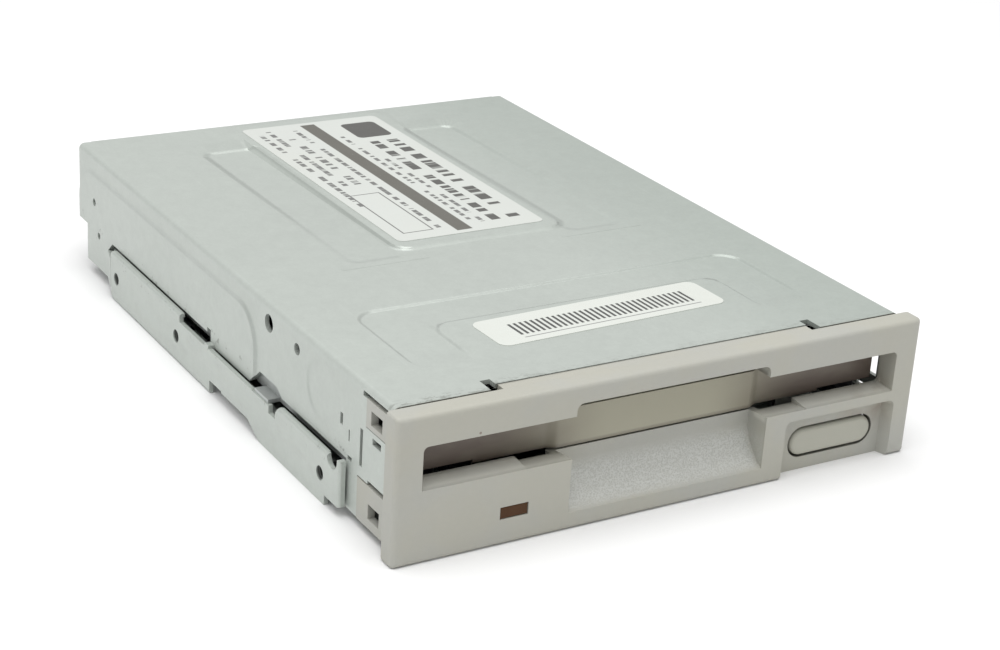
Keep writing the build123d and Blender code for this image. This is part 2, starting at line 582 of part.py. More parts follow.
# dust door: a flap that hangs behind the slot and swings in under a disk
DOOR_X = 44.4
DOOR_PLAY = 0.4             # flap's right end to the ear
DOOR_T = 1.0
DOOR_PLATE = 0.8            # plate's face ahead of the axis
DOOR_BULGE = 0.85           # middle of the flap stands forward
DOOR_BULGE_X = 18.6
DOOR_EASE = 2.6             # soft slope at the ends of the bulge
DOOR_TOP = 0.85             # upper edge of the bulge below the slot's top
DOOR_DEEP_X = 34.0          # flap reaches down behind the lip, but not at its ends
DOOR_LOW = 0.65             # flap's lower edge over the lip
DOOR_BARREL = 1.1
WIRE_R = 0.2                # door spring
PEG_R = 0.4
PEG_DOWN = 3.8
LEG_DOWN = 4.6
WRAP_R = DOOR_PIN_R + WIRE_R + RUN_FIT
SPRING_X = -(DOOR_X + SLOT_X) / 2
DOOR_RIGHT = EAR_X - DOOR_PLAY
FLAP_Z = LIP_Z0 - LIP_MID_FALL * DOOR_Y / (SCOOP_DEEP + SCOOP_WALL + 1) + DOOR_LOW
FLAP_TOP = SLOT_Z1 - DOOR_TOP
flap_face = y_at(DOOR_Y - DOOR_PLATE)
bulge_face = flap_face - DOOR_BULGE
bulge_end = DOOR_BULGE_X + DOOR_EASE

with BuildPart() as dust_door:
    with BuildSketch(Plane.YZ.offset(-DOOR_X)):
        with Locations((y_at(DOOR_Y), DOOR_Z)):
            Circle(DOOR_BARREL)
        with Locations((flap_face + DOOR_T / 2, (DOOR_Z + SLOT_Z0) / 2)):
            Rectangle(DOOR_T, DOOR_Z - SLOT_Z0)
    extrude(amount=DOOR_X + DOOR_RIGHT)
    # the flap is cut away over its middle, so only its two ends reach up to the pins
    block(-DOOR_BULGE_X, DOOR_BULGE_X, DOOR_Y - DOOR_PLATE - DOOR_BARREL, DOOR_Y + 2 * DOOR_BARREL,
          FLAP_TOP, DOOR_Z + 2 * DOOR_BARREL, mode=Mode.SUBTRACT)
    # deeper part of the flap, and its middle that swells forward
    block(-DOOR_DEEP_X, DOOR_DEEP_X, DOOR_Y - DOOR_PLATE, DOOR_Y - DOOR_PLATE + DOOR_T,
          FLAP_Z, SLOT_Z0 + 1)
    with BuildSketch(Plane.XY.offset(FLAP_Z)):
        with BuildLine():
            Spline((-bulge_end, flap_face), (-DOOR_BULGE_X, bulge_face), tangents=((1, 0), (1, 0)))
            Line((-DOOR_BULGE_X, bulge_face), (DOOR_BULGE_X, bulge_face))
            Spline((DOOR_BULGE_X, bulge_face), (bulge_end, flap_face), tangents=((1, 0), (1, 0)))
            Polyline((bulge_end, flap_face), (bulge_end, flap_face + DOOR_T / 2),
                     (-bulge_end, flap_face + DOOR_T / 2), (-bulge_end, flap_face))
        make_face()
    extrude(amount=FLAP_TOP - FLAP_Z)
    # pins in the bezel's ears
    across(-EAR_X - EAR_T, -DOOR_X, DOOR_Y, DOOR_Z, DOOR_PIN_R)
    across(DOOR_RIGHT, EAR_X + EAR_T, DOOR_Y, DOOR_Z, DOOR_PIN_R)
    # peg that the spring's leg bears on
    across(SPRING_X - WIRE_R, -DOOR_X, DOOR_Y + WRAP_R - WIRE_R - PEG_R, DOOR_Z - PEG_DOWN, PEG_R)
save(dust_door, "dust_door")
DOOR_REACH = ((DOOR_PLATE + DOOR_BULGE) ** 2 + (DOOR_Z - FLAP_Z) ** 2) ** 0.5
HOLDER_FRONT = DOOR_Y + DOOR_REACH + DOOR_CLEAR

# door spring: a wire bent over the pin, one leg on the bezel and one behind the flap's peg

with BuildPart() as door_spring:
    with BuildLine(Plane.YZ.offset(SPRING_X)):
        Line((y_at(BEZEL_T), DOOR_Z + WRAP_R), (y_at(DOOR_Y), DOOR_Z + WRAP_R))
        CenterArc((y_at(DOOR_Y), DOOR_Z), WRAP_R, 90, -90)
        Line((y_at(DOOR_Y) + WRAP_R, DOOR_Z), (y_at(DOOR_Y) + WRAP_R, DOOR_Z - LEG_DOWN))
    with BuildSketch(Plane(origin=(SPRING_X, y_at(BEZEL_T), DOOR_Z + WRAP_R), z_dir=(0, 1, 0))):
        Circle(WIRE_R)
    sweep()
save(door_spring, "door_spring")

# labels: two plain papers on the roof
PAPER_T = 0.1
BIG_MARGIN = 2.5            # panel's edge to the large label, front and rear
BIG_SIDE = 2.0
BIG_X = -0.4
BIG_W = 2 * (PANEL_X - BIG_SIDE)
BIG_L = PANEL_D1 - PANEL_D0 - 2 * BIG_MARGIN
NARROW_W = 46.0
NARROW_L = 10.6
NARROW_X = 0.7
NARROW_D = 24.1
NARROW_TURN = 2.2           # stuck on a little askew, degrees

with BuildPart() as large_label:
    with BuildSketch(panel_plane):
        with Locations((BIG_X, (PANEL_D0 - PANEL_D1) / 2)):
            RectangleRounded(BIG_W, BIG_L, 1.4)
    extrude(amount=PAPER_T)
save(large_label, "large_label")

with BuildPart() as narrow_label:
    with BuildSketch(Plane.XY.offset(TOP_Z)):
        with Locations(Location((NARROW_X, y_at(NARROW_D)), NARROW_TURN)):
            RectangleRounded(NARROW_W, NARROW_L, 1.8)
    extrude(amount=PAPER_T)
save(narrow_label, "narrow_label")

# eject mechanism: places shared by the deck, the slide plate and the holder
EJECT = 5.5                 # stroke of the button
PIN_R = 1.0
PIN_FRONT = 30.0
PIN_SPAN = 60.0
PIN_UP = 1.5                # pins over the bay's floor
PIN_CAP = 1.2               # metal over the pins
STUD_X = 34.0
STUD_D0 = 28.0
STUD_D1 = 92.0
STUD_R = 1.4
STUD_HEAD = 2.4
PULL_X = 39.0               # slide springs, under the deck
PULL_R = 1.6
PULL_D0 = 34.0
PULL_D1 = 59.3
PULL_Z = 6.0
TAB_W = 2.4
STEM_W = 8.0                # button's stem and the slide's tab
TAB_D = 13.0
PIN_Z = BAY_Z + PIN_UP
PIN_D = (PIN_FRONT, PIN_FRONT + PIN_SPAN)
PIN_SLOT = 2 * (PIN_R + SLOT_FIT)

# head carriage: places shared with the deck
ROD_X = -15.0
ROD_R = 1.25
ROD_OVER_DECK = 1.1
ROD_D0 = 63.0
ROD_D1 = 124.5
CLAMP_L = 3.0
BUSH_R = 2.05
CAR_X0 = -12.6
CAR_X1 = 8.6
CAR_LEAD = 8.5              # carriage ahead of the head
SCREW_X = 20.0
SCREW_Z = 13.5
SCREW_R = 1.75
NECK_R = 0.9
TAIL_R = 1.2
STEPPER_R = 8.0
WINDOW_GAP = 1.8
ROD_Z = DECK_TOP + ROD_OVER_DECK
CAR_Z0 = DECK_TOP + FREE
CAR_Z1 = DISK_DOWN - FREE
CAR_FRONT = HEAD_Y - CAR_LEAD
FOLLOWER_D = SCREW_BACK - RUN_OUT - FOLLOWER_L
CAR_END = SCREW_BACK - FREE
WINDOW_X0 = ROD_X - BUSH_R - WINDOW_GAP
WINDOW_X1 = CAR_X1 + WINDOW_GAP
WINDOW_D0 = CAR_FRONT - TRAVEL - WINDOW_GAP
WINDOW_D1 = CAR_END + WINDOW_GAP

# spindle: places shared with the deck
ROTOR_R = 25.5
HUB_R = 13.0
HUB_GAP = 1.2
BOSS_R = 2.2
BOARD_BOSS_X = 27.0
BOARD_BOSS_D = 22.0
MAIN_GAP = 1.0
MAIN_Z = FLOOR_Z + FLOOR_T + MAIN_GAP
MAIN_TOP = MAIN_Z + MAIN_BOARD_T
MAIN_D0 = 92.0
MAIN_BOSS_X = 38.0
MAIN_BOSS_D = (97.0, 116.0)
FLOOR_BOSS_X = 43.0
FLOOR_BOSS_D = (26.0, 86.0)
SCREW_SHANK = 1.2
SCREW_GRIP = 2.4            # thread in a boss
SCREW_TIP = 0.2             # hole beyond the screw's tip
DECK_FRONT = 15.2
DECK_END = WINDOW_D1 + 3.0
SWITCH_D = 11.8
SWITCH_X = (-41.0, -34.0, 43.5)
SWITCH_W = 4.8
SWITCH_L = 4.4
SWITCH_H = 2.4

with BuildPart() as deck_plate:
    with BuildSketch(Plane.XY.offset(DECK_Z)) as deck_plan:
        with Locations((0, y_at((DECK_FRONT + DECK_END) / 2))):
            Rectangle(2 * DECK_X, DECK_END - DECK_FRONT)
        # tongues under the media switches
        for x in SWITCH_X:
            with Locations((x, y_at((SWITCH_D - 2.8 + DECK_FRONT + 1) / 2))):
                Rectangle(SWITCH_W + 2.4, DECK_FRONT + 1 - SWITCH_D + 2.8)
        # lugs through the frame's walls
        with Locations((0, y_at(LUG_D))):
            Rectangle(2 * (RAIL_X - 0.3), LUG_L)
        with Locations((0, y_at(SPINDLE_Y))):
            Circle(HUB_R + HUB_GAP, mode=Mode.SUBTRACT)
        # window under the carriage, with room for the rod's ends
        with Locations(((WINDOW_X0 + WINDOW_X1) / 2, y_at((WINDOW_D0 + WINDOW_D1) / 2))):
            Rectangle(WINDOW_X1 - WINDOW_X0, WINDOW_D1 - WINDOW_D0, mode=Mode.SUBTRACT)
        with Locations((ROD_X, y_at((ROD_D0 + ROD_D1) / 2))):
            Rectangle(2 * ROD_R + 0.6, ROD_D1 - ROD_D0 + 0.6, mode=Mode.SUBTRACT)
        # room for the stepper's can
        with Locations((SCREW_X, y_at((STEPPER_Y + DECK_END + 1) / 2))):
            Rectangle(2 * (STEPPER_R + FREE), DECK_END + 1 - STEPPER_Y, mode=Mode.SUBTRACT)
        # slots for the slide's spring tabs
        with Locations((PULL_X, y_at(PULL_D1 - EJECT / 2)), (-PULL_X, y_at(PULL_D1 - EJECT / 2))):
            Rectangle(TAB_W + 2 * FREE, EJECT + 2 * SLIDE_T + 2 * FREE, mode=Mode.SUBTRACT)
    extrude(amount=DECK_T)
    # upright flanges that guide the holder's pins
    for side in (-1, 1):
        with BuildSketch(Plane.YZ.offset(min(side * DECK_IN, side * DECK_X))) as guide:
            z1 = PIN_Z + PIN_R + PIN_CAP - 0.4
            with Locations((y_at((PIN_D[0] + PIN_D[1]) / 2), (DECK_Z + z1) / 2)):
                Rectangle(PIN_SPAN + 18, z1 - DECK_Z)
            fillet(guide.vertices().group_by(Axis.Y)[-1], 3.0)
            for d in PIN_D:
                with Locations((y_at(d), PIN_Z - DROP)):
                    Circle(PIN_SLOT / 2, mode=Mode.SUBTRACT)
                with Locations((y_at(d), PIN_Z - DROP + 5)):
                    Rectangle(PIN_SLOT, 10, mode=Mode.SUBTRACT)
        extrude(amount=DECK_T)
    # bosses for the boards and the bottom cover, and anchors for the slide springs
    for sx in (-1, 1):
        for sd in (-1, 1):
            post(sx * BOARD_BOSS_X, SPINDLE_Y + sd * BOARD_BOSS_D, BOARD_TOP, DECK_Z, BOSS_R)
        for d in MAIN_BOSS_D:
            post(sx * MAIN_BOSS_X, d, MAIN_TOP, DECK_Z, BOSS_R)
        for d in FLOOR_BOSS_D:
            post(sx * FLOOR_BOSS_X, d, FLOOR_Z + FLOOR_T, DECK_Z, BOSS_R)
            post(sx * FLOOR_BOSS_X, d, FLOOR_Z, FLOOR_Z + FLOOR_T + SCREW_GRIP + SCREW_TIP, SCREW_SHANK,
                 mode=Mode.SUBTRACT)
        for sd in (-1, 1):
            post(sx * BOARD_BOSS_X, SPINDLE_Y + sd * BOARD_BOSS_D, BOARD_TOP - 1,
                 BOARD_TOP + SCREW_GRIP + SCREW_TIP, SCREW_SHANK, mode=Mode.SUBTRACT)
        for d in MAIN_BOSS_D:
            post(sx * MAIN_BOSS_X, d, MAIN_TOP - 1, MAIN_TOP + SCREW_GRIP + SCREW_TIP, SCREW_SHANK,
                 mode=Mode.SUBTRACT)
        block(sx * PULL_X - TAB_W / 2, sx * PULL_X + TAB_W / 2, PULL_D0 - DECK_T, PULL_D0,
              PULL_Z - 1.4, DECK_Z)
save(deck_plate, "deck_plate")

# studs that guide the slide plate and carry a loaded disk
with BuildPart() as slide_studs:
    for x in (-STUD_X, STUD_X):
        for d in (STUD_D0, STUD_D1):
            bolt(x, d, DECK_TOP, SLIDE_Z - 0.1, STUD_HEAD)
            bolt(x, d, DECK_TOP, DISK_DOWN, STUD_R)
            bolt(x, d, SLIDE_TOP + 0.3, DISK_DOWN - 0.5, STUD_HEAD)
save(slide_studs, "slide_studs")

# slide plate: a flat frame with two upright flanges and a straight cam slot for each pin
SLIDE_D0 = 20.0
SLIDE_D1 = 99.0
SLIDE_FRONT_L = 13.0
SLIDE_OPEN_X = 30.0

with BuildPart() as slide_plate:
    with BuildSketch(Plane.XY.offset(SLIDE_Z)) as slide_plan:
        with Locations((0, y_at((SLIDE_D0 + SLIDE_D1) / 2))):
            Rectangle(2 * SLIDE_X, SLIDE_D1 - SLIDE_D0)
        with Locations((0, y_at((SLIDE_D0 + SLIDE_FRONT_L + SLIDE_D1 + 1) / 2))):
            Rectangle(2 * SLIDE_OPEN_X, SLIDE_D1 + 1 - SLIDE_D0 - SLIDE_FRONT_L, mode=Mode.SUBTRACT)
        with Locations((BUTTON_X, y_at((TAB_D + SLIDE_D0 + 1) / 2))):
            Rectangle(STEM_W, SLIDE_D0 + 1 - TAB_D)
        # slots round the studs
        for x in (-STUD_X, STUD_X):
            for d in (STUD_D0, STUD_D1):
                with Locations((x, y_at(d + EJECT / 2))):
                    SlotCenterToCenter(EJECT, 2 * (STUD_R + SLOT_FIT), rotation=90, mode=Mode.SUBTRACT)
    extrude(amount=SLIDE_T)
    # tab that the button's stem is fixed to
    block(BUTTON_X - STEM_W / 2, BUTTON_X + STEM_W / 2, TAB_D, TAB_D + SLIDE_T,
          BUTTON_Z - 1.6, SLIDE_TOP)
    for side in (-1, 1):
        with BuildSketch(Plane.YZ.offset(min(side * SLIDE_IN, side * SLIDE_X))) as cam:
            z1 = PIN_Z + PIN_R + PIN_CAP
            with Locations((y_at((SLIDE_D0 + 2 + SLIDE_D1) / 2), (SLIDE_Z + z1) / 2)):
                Rectangle(SLIDE_D1 - SLIDE_D0 - 2, z1 - SLIDE_Z)
            fillet(cam.vertices().group_by(Axis.Y)[-1], 2.5)
            for d in PIN_D:
                SlotCenterPoint(
                    center=(y_at(d + EJECT / 2), PIN_Z - DROP / 2),
                    point=(y_at(d), PIN_Z),
                    height=PIN_SLOT,
                    mode=Mode.SUBTRACT,
                )
        extrude(amount=SLIDE_T)
        # tabs for the springs, down through the deck
        block(side * PULL_X - TAB_W / 2, side * PULL_X + TAB_W / 2, PULL_D1, PULL_D1 + SLIDE_T,
              PULL_Z - 1.4, SLIDE_TOP)
save(slide_plate, "slide_plate")

# slide springs: close-wound, with a straight hook at each end
with BuildPart() as slide_springs:
    for x in (-PULL_X, PULL_X):
        along(x, PULL_D0 + 2.5, PULL_D1 - 2.5, PULL_Z, PULL_R)
        along(x, PULL_D0, PULL_D0 + 2.6, PULL_Z, 0.3)
        along(x, PULL_D1 - 2.6, PULL_D1, PULL_Z, 0.3)
save(slide_springs, "slide_springs")

# eject button with its stem
with BuildPart() as eject_button:
    with BuildSketch(face_at(BEZEL_T + 1.4)):
        with Locations((BUTTON_X, BUTTON_Z)):
            SlotOverall(BUTTON_W, BUTTON_H)
    extrude(amount=BEZEL_T + 1.4 - BUTTON_FACE)
    fillet(eject_button.faces().sort_by(Axis.Y)[0].edges(), 0.7)
    block(BUTTON_X - STEM_W / 2, BUTTON_X + STEM_W / 2, BEZEL_T + 1.4, TAB_D,
          BUTTON_Z - 1.2, BUTTON_Z + 1.2)
save(eject_button, "eject_button")

# disk holder: a channel for the disk that sinks on its four pins
LIP_W = 5.5
BAY_SLOT_X = 10.5           # slot for the head arm
BAY_SLOT_D = 66.0
TONGUE_W = 4.2              # lifts the head arm
TONGUE_L = 6.5
LEVER_X = 38.6
LEVER_D = 75.0
LEVER_R = 25.6
LEVER_SWING = 77.0
LEVER_PIN_R = 1.2
LEVER_T = 0.8
LEVER_GAP = 0.3
LEVER_W = 6.0
LEVER_STUD_R = 1.5
LEVER_WIRE = 0.2            # lever spring
LEVER_LEG = 14.0
LEVER_Z = HOLDER_TOP + LEVER_GAP
LEVER_LEG_X = LEVER_X + LEVER_STUD_R + RUN_FIT + LEVER_WIRE

with BuildPart() as disk_holder:
    with BuildSketch(face_at(HOLDER_END)) as channel:
        with Locations((0, (LIP_Z + HOLDER_TOP) / 2)):
            Rectangle(2 * HOLDER_X, HOLDER_TOP - LIP_Z)
        with Locations((0, BAY_Z + BAY_H / 2)):
            Rectangle(2 * BAY_X, BAY_H, mode=Mode.SUBTRACT)
        with Locations((0, LIP_Z)):
            Rectangle(2 * (HOLDER_X - LIP_W), 3 * HOLDER_T, mode=Mode.SUBTRACT)
        fillet(channel.vertices().group_by(Axis.Y)[-1], 0.5)
    extrude(amount=HOLDER_END - HOLDER_FRONT)
    with BuildSketch(Plane.XY.offset(HOLDER_TOP - HOLDER_T)):
        with Locations((0, y_at((BAY_SLOT_D + HOLDER_END + 1) / 2))):
            Rectangle(2 * BAY_SLOT_X, HOLDER_END + 1 - BAY_SLOT_D)
        SlotArc(
            arc=CenterArc((LEVER_X, y_at(LEVER_D)), LEVER_R, 180, -LEVER_SWING, mode=Mode.PRIVATE),
            height=2 * (LEVER_PIN_R + FREE),
        )
        # opening over the hub, and the front edge cut back for a finger
        with Locations((0, y_at(SPINDLE_Y))):
            Circle(9.0)
        with Locations((0, y_at(HOLDER_FRONT))):
            SlotOverall(34, 10)
    extrude(amount=HOLDER_T, mode=Mode.SUBTRACT)
    # tongue under the head arm, and a tab for the lever's spring
    block(-BAY_SLOT_X - 0.3 - TONGUE_W, -BAY_SLOT_X - 0.3, HOLDER_END - 0.5, HOLDER_END + TONGUE_L,
          HOLDER_TOP - HOLDER_T, HOLDER_TOP)
    block(LEVER_LEG_X - LEVER_WIRE - HOLDER_T, LEVER_LEG_X - LEVER_WIRE, LEVER_D - LEVER_LEG,
          LEVER_D - LEVER_LEG + 3, HOLDER_TOP - 0.1, LEVER_Z + LEVER_T + 0.6)
save(disk_holder, "disk_holder")

with BuildPart() as holder_pins:
    for d in PIN_D:
        across(-DECK_X + 0.05, -HOLDER_X, d, PIN_Z, PIN_R)
        across(HOLDER_X, DECK_X - 0.05, d, PIN_Z, PIN_R)
save(holder_pins, "holder_pins")

# eject lever on the holder: the disk turns it by its pin
LEVER_PLAY = 0.6            # stud's collar over the lever
LEVER_CAP = 0.5             # stud's collar
LEVER_CAP_W = 1.1           # collar beyond the stud
LEVER_PIN_LOW = 0.6         # lever's pin over the bay's floor
LEVER_PEG_X = 14.0          # peg for the spring, from the stud
LEVER_PEG_H = 0.8
LEVER_TAIL = 15.5           # spring's leg along the lever
LEVER_WIRE_UP = 0.3         # spring over the lever
lever_top = LEVER_Z + LEVER_T

with BuildPart() as lever_pivot:
    post(LEVER_X, LEVER_D, HOLDER_TOP, lever_top + LEVER_PLAY, LEVER_STUD_R)
    post(LEVER_X, LEVER_D, lever_top + LEVER_PLAY, lever_top + LEVER_PLAY + LEVER_CAP,
         LEVER_STUD_R + LEVER_CAP_W)
save(lever_pivot, "lever_pivot")

with BuildPart() as eject_lever:
    with BuildSketch(Plane.XY.offset(LEVER_Z)):
        with Locations((LEVER_X - LEVER_R / 2, y_at(LEVER_D))):
            SlotCenterToCenter(LEVER_R, LEVER_W)
        with Locations((LEVER_X, y_at(LEVER_D))):
            Circle(LEVER_STUD_R + RUN_FIT, mode=Mode.SUBTRACT)
    extrude(amount=LEVER_T)
    post(LEVER_X - LEVER_R, LEVER_D, BAY_Z + LEVER_PIN_LOW, LEVER_Z, LEVER_PIN_R)
    # peg that the spring's leg bears on
    post(LEVER_X - LEVER_PEG_X, LEVER_D + LEVER_STUD_R + RUN_FIT - PEG_R, lever_top,
         lever_top + LEVER_PEG_H, PEG_R)
save(eject_lever, "eject_lever")

with BuildPart() as lever_spring:
    wrap = LEVER_LEG_X - LEVER_X
    with BuildLine(Plane.XY.offset(lever_top + LEVER_WIRE_UP)):
        Line((LEVER_LEG_X, y_at(LEVER_D - LEVER_LEG)), (LEVER_LEG_X, y_at(LEVER_D)))
        CenterArc((LEVER_X, y_at(LEVER_D)), wrap, 0, 90)
        Line((LEVER_X, y_at(LEVER_D) + wrap), (LEVER_X - LEVER_TAIL, y_at(LEVER_D) + wrap))
    with BuildSketch(Plane(
            origin=(LEVER_LEG_X, y_at(LEVER_D - LEVER_LEG), lever_top + LEVER_WIRE_UP),
            x_dir=(1, 0, 0), z_dir=(0, 1, 0))):
        Circle(LEVER_WIRE)
    sweep()
save(lever_spring, "lever_spring")

# guide rod and clamps
ROD_EDGE = 0.25
CLAMP_W = 10.0
CLAMP_OVER = 0.6            # clamp's wall over the rod
CLAMP_ROUND = 0.8

with BuildPart() as guide_rod:
    along(ROD_X, ROD_D0, ROD_D1, ROD_Z, ROD_R)
    chamfer(guide_rod.edges(), ROD_EDGE)
save(guide_rod, "guide_rod")

with BuildPart() as rod_clamps:
    for d in (ROD_D0, ROD_D1 - CLAMP_L):
        block(ROD_X - CLAMP_W / 2, ROD_X + CLAMP_W / 2, d, d + CLAMP_L,
              DECK_TOP, ROD_Z + ROD_R + CLAMP_OVER)
    fillet(rod_clamps.edges().filter_by(Axis.Y).group_by(Axis.Z)[-1], CLAMP_ROUND)
    along(ROD_X, ROD_D0 - 1, ROD_D1 + 1, ROD_Z, ROD_R, mode=Mode.SUBTRACT)
save(rod_clamps, "rod_clamps")

# head carriage
HINGE_BACK = 2.9            # hinge ahead of the carriage's end
HINGE_Z = 17.5
HINGE_R = 1.0
EAR_W = 1.8
ARM_LIFT = 11.5             # head arm raised without a disk, degrees
HEAD_W = 6.0
HEAD_L = 7.0
HEAD_FACE = DISK_DOWN + DISK_T / 2
HINGE_D = CAR_END - HINGE_BACK
FLAG_D = 113.0
FLAG_Z = 10.6

with BuildPart() as head_carriage:
    with BuildSketch(Plane.XY.offset(CAR_Z0)) as car_plan:
        with Locations(((CAR_X0 + CAR_X1) / 2, y_at((CAR_FRONT + CAR_END) / 2))):
            Rectangle(CAR_X1 - CAR_X0, CAR_END - CAR_FRONT)
        chamfer(car_plan.vertices().group_by(Axis.Y)[0], 3.0)
        # lightened in the middle
        with Locations(((CAR_X0 + CAR_X1) / 2, y_at((HEAD_Y + HEAD_L + CAR_END - 6) / 2))):
            RectangleRounded(10, CAR_END - 6 - HEAD_Y - HEAD_L, 2, mode=Mode.SUBTRACT)
    extrude(amount=CAR_Z1 - CAR_Z0)
    # two bushes on the rod
    for d in (CAR_FRONT + 1.5, CAR_END - 9):
        along(ROD_X, d, d + 6, ROD_Z, BUSH_R)
        block(ROD_X, CAR_X0, d, d + 6, CAR_Z0, CAR_Z1)
    along(ROD_X, CAR_FRONT, CAR_END, ROD_Z, ROD_R + RUN_FIT, mode=Mode.SUBTRACT)
    # ears of the arm's hinge
    for x in (-CAR_X1, CAR_X1 - EAR_W):
        with BuildSketch(Plane.YZ.offset(x)):
            with Locations((y_at(HINGE_D), HINGE_Z)):
                Circle(2.4)
            with Locations((y_at(HINGE_D), (CAR_Z0 + HINGE_Z) / 2)):
                Rectangle(4.8, HINGE_Z - CAR_Z0)
            with Locations((y_at(HINGE_D), HINGE_Z)):
                Circle(HINGE_R, mode=Mode.SUBTRACT)
        extrude(amount=EAR_W)
    # follower under the lead screw
    block(CAR_X1 - 0.5, SCREW_X + SCREW_R, FOLLOWER_D, FOLLOWER_D + FOLLOWER_L,
          DECK_TOP + 1 + FREE, SCREW_Z - 0.7)
    along(SCREW_X, FOLLOWER_D - 1, FOLLOWER_D + FOLLOWER_L + 1, SCREW_Z, SCREW_R + RUN_FIT,
          mode=Mode.SUBTRACT)
    # flag for the track sensor
    block(ROD_X - BUSH_R - 6.0, ROD_X - BUSH_R + 0.6, FLAG_D, FLAG_D + 3, FLAG_Z, FLAG_Z + 0.6)
save(head_carriage, "head_carriage")

with BuildPart() as lower_head:
    with BuildSketch(Plane.XY.offset(CAR_Z1)):
        with Locations((0, y_at(HEAD_Y))):
            RectangleRounded(HEAD_W, HEAD_L, 0.8)
    extrude(amount=HEAD_FACE - CAR_Z1)
    chamfer(lower_head.faces().sort_by(Axis.Z)[-1].edges(), 0.4)
save(lower_head, "lower_head")

with BuildPart() as arm_pin:
    across(-CAR_X1, CAR_X1, HINGE_D, HINGE_Z, HINGE_R)
save(arm_pin, "arm_pin")

# head arm, raised as it stands without a disk
arm_plane = Plane(
    origin=(0, y_at(HINGE_D), HINGE_Z), x_dir=(1, 0, 0),
    z_dir=(0, sin(radians(ARM_LIFT)), cos(radians(ARM_LIFT))))
ARM_W0 = 2 * (CAR_X1 - EAR_W - FREE)
ARM_W1 = 9.0
ARM_THICK = 1.5
ARM_TIP = 31.0
RIB_H = 0.6
HEAD_REACH = HINGE_D - HEAD_Y
TAB_REACH = 13.5
TAB_UP = 0.25

with BuildPart() as upper_arm:
    with BuildSketch(arm_plane.offset(-ARM_THICK)):
        with BuildLine():
            Polyline(
                (-ARM_W0 / 2, 0),
                (ARM_W0 / 2, 0),
                (ARM_W1 / 2, -ARM_TIP),
                (-ARM_W1 / 2, -ARM_TIP),
                close=True,
            )
        make_face()
        with Locations((0, -HEAD_REACH / 2)):
            RectangleRounded(6, 9, 1.5, mode=Mode.SUBTRACT)
    extrude(amount=ARM_THICK)
    with BuildSketch(arm_plane):
        with Locations((-3.6, -HEAD_REACH / 2), (3.6, -HEAD_REACH / 2)):
            Rectangle(1.0, HEAD_REACH - 4)
    extrude(amount=RIB_H)
    with BuildSketch(arm_plane.offset(-0.4)):
        with Locations((-(BAY_SLOT_X + 4) / 2 - 2.0, -TAB_REACH)):
            Rectangle(BAY_SLOT_X + 0.2, 2.0)
    extrude(amount=0.8 + TAB_UP + 0.2)
    # underside of the tab cleared, so that only its end bears on the holder's tongue
    with BuildSketch(arm_plane.offset(-0.6)):
        with Locations((-BAY_SLOT_X - 1.5, -TAB_REACH)):
            Rectangle(9.6, 4.0)
    extrude(amount=0.6 + TAB_UP, mode=Mode.SUBTRACT)
    across(-ARM_W0 / 2, ARM_W0 / 2, HINGE_D, HINGE_Z, 1.9)
    across(-ARM_W0, ARM_W0, HINGE_D, HINGE_Z, HINGE_R + RUN_FIT, mode=Mode.SUBTRACT)
save(upper_arm, "upper_arm")

with BuildPart() as upper_head:
    with BuildSketch(arm_plane.offset(-ARM_THICK)):
        with Locations((0, -HEAD_REACH)):
            RectangleRounded(HEAD_W, HEAD_L, 0.8)
    extrude(amount=-(HINGE_Z - ARM_THICK - HEAD_FACE - 0.2))
    chamfer(upper_head.faces().sort_by(Axis.Z)[0].edges(), 0.4)
save(upper_head, "upper_head")

# lead screw, stepper and bracket
BASE_X = 6.0                # half width of the bracket's foot

with BuildPart() as lead_screw:
    along(SCREW_X, SCREW_FRONT + UPRIGHT_T + 0.4, SCREW_BACK - 0.4, SCREW_Z, SCREW_R)
    chamfer(lead_screw.edges(), 0.3)
    along(SCREW_X, SCREW_FRONT - 0.2, SCREW_FRONT + UPRIGHT_T + 0.5, SCREW_Z, NECK_R)
    along(SCREW_X, SCREW_BACK - 0.5, STEPPER_Y + 3.0, SCREW_Z, TAIL_R)
save(lead_screw, "lead_screw")

with BuildPart() as stepper_bracket:
    block(SCREW_X - BASE_X, SCREW_X + BASE_X, SCREW_FRONT, STEPPER_Y, DECK_TOP, DECK_TOP + 1.0)
    with BuildSketch(face_at(SCREW_FRONT + UPRIGHT_T)):
        with Locations((SCREW_X, SCREW_Z)):
            Circle(3.0)
        with Locations((SCREW_X, (DECK_TOP + SCREW_Z) / 2)):
            Rectangle(6.0, SCREW_Z - DECK_TOP)
        with Locations((SCREW_X, SCREW_Z)):
            Circle(NECK_R + RUN_FIT, mode=Mode.SUBTRACT)
    extrude(amount=UPRIGHT_T)
    with BuildSketch(face_at(STEPPER_Y)):
        with Locations((SCREW_X, SCREW_Z)):
            Circle(STEPPER_R)
        with Locations((SCREW_X, DECK_TOP - 5)):
            Rectangle(4 * STEPPER_R, 10, mode=Mode.SUBTRACT)
        with Locations((SCREW_X, SCREW_Z)):
            Circle(TAIL_R + RUN_FIT, mode=Mode.SUBTRACT)
    extrude(amount=UPRIGHT_T)
save(stepper_bracket, "stepper_bracket")

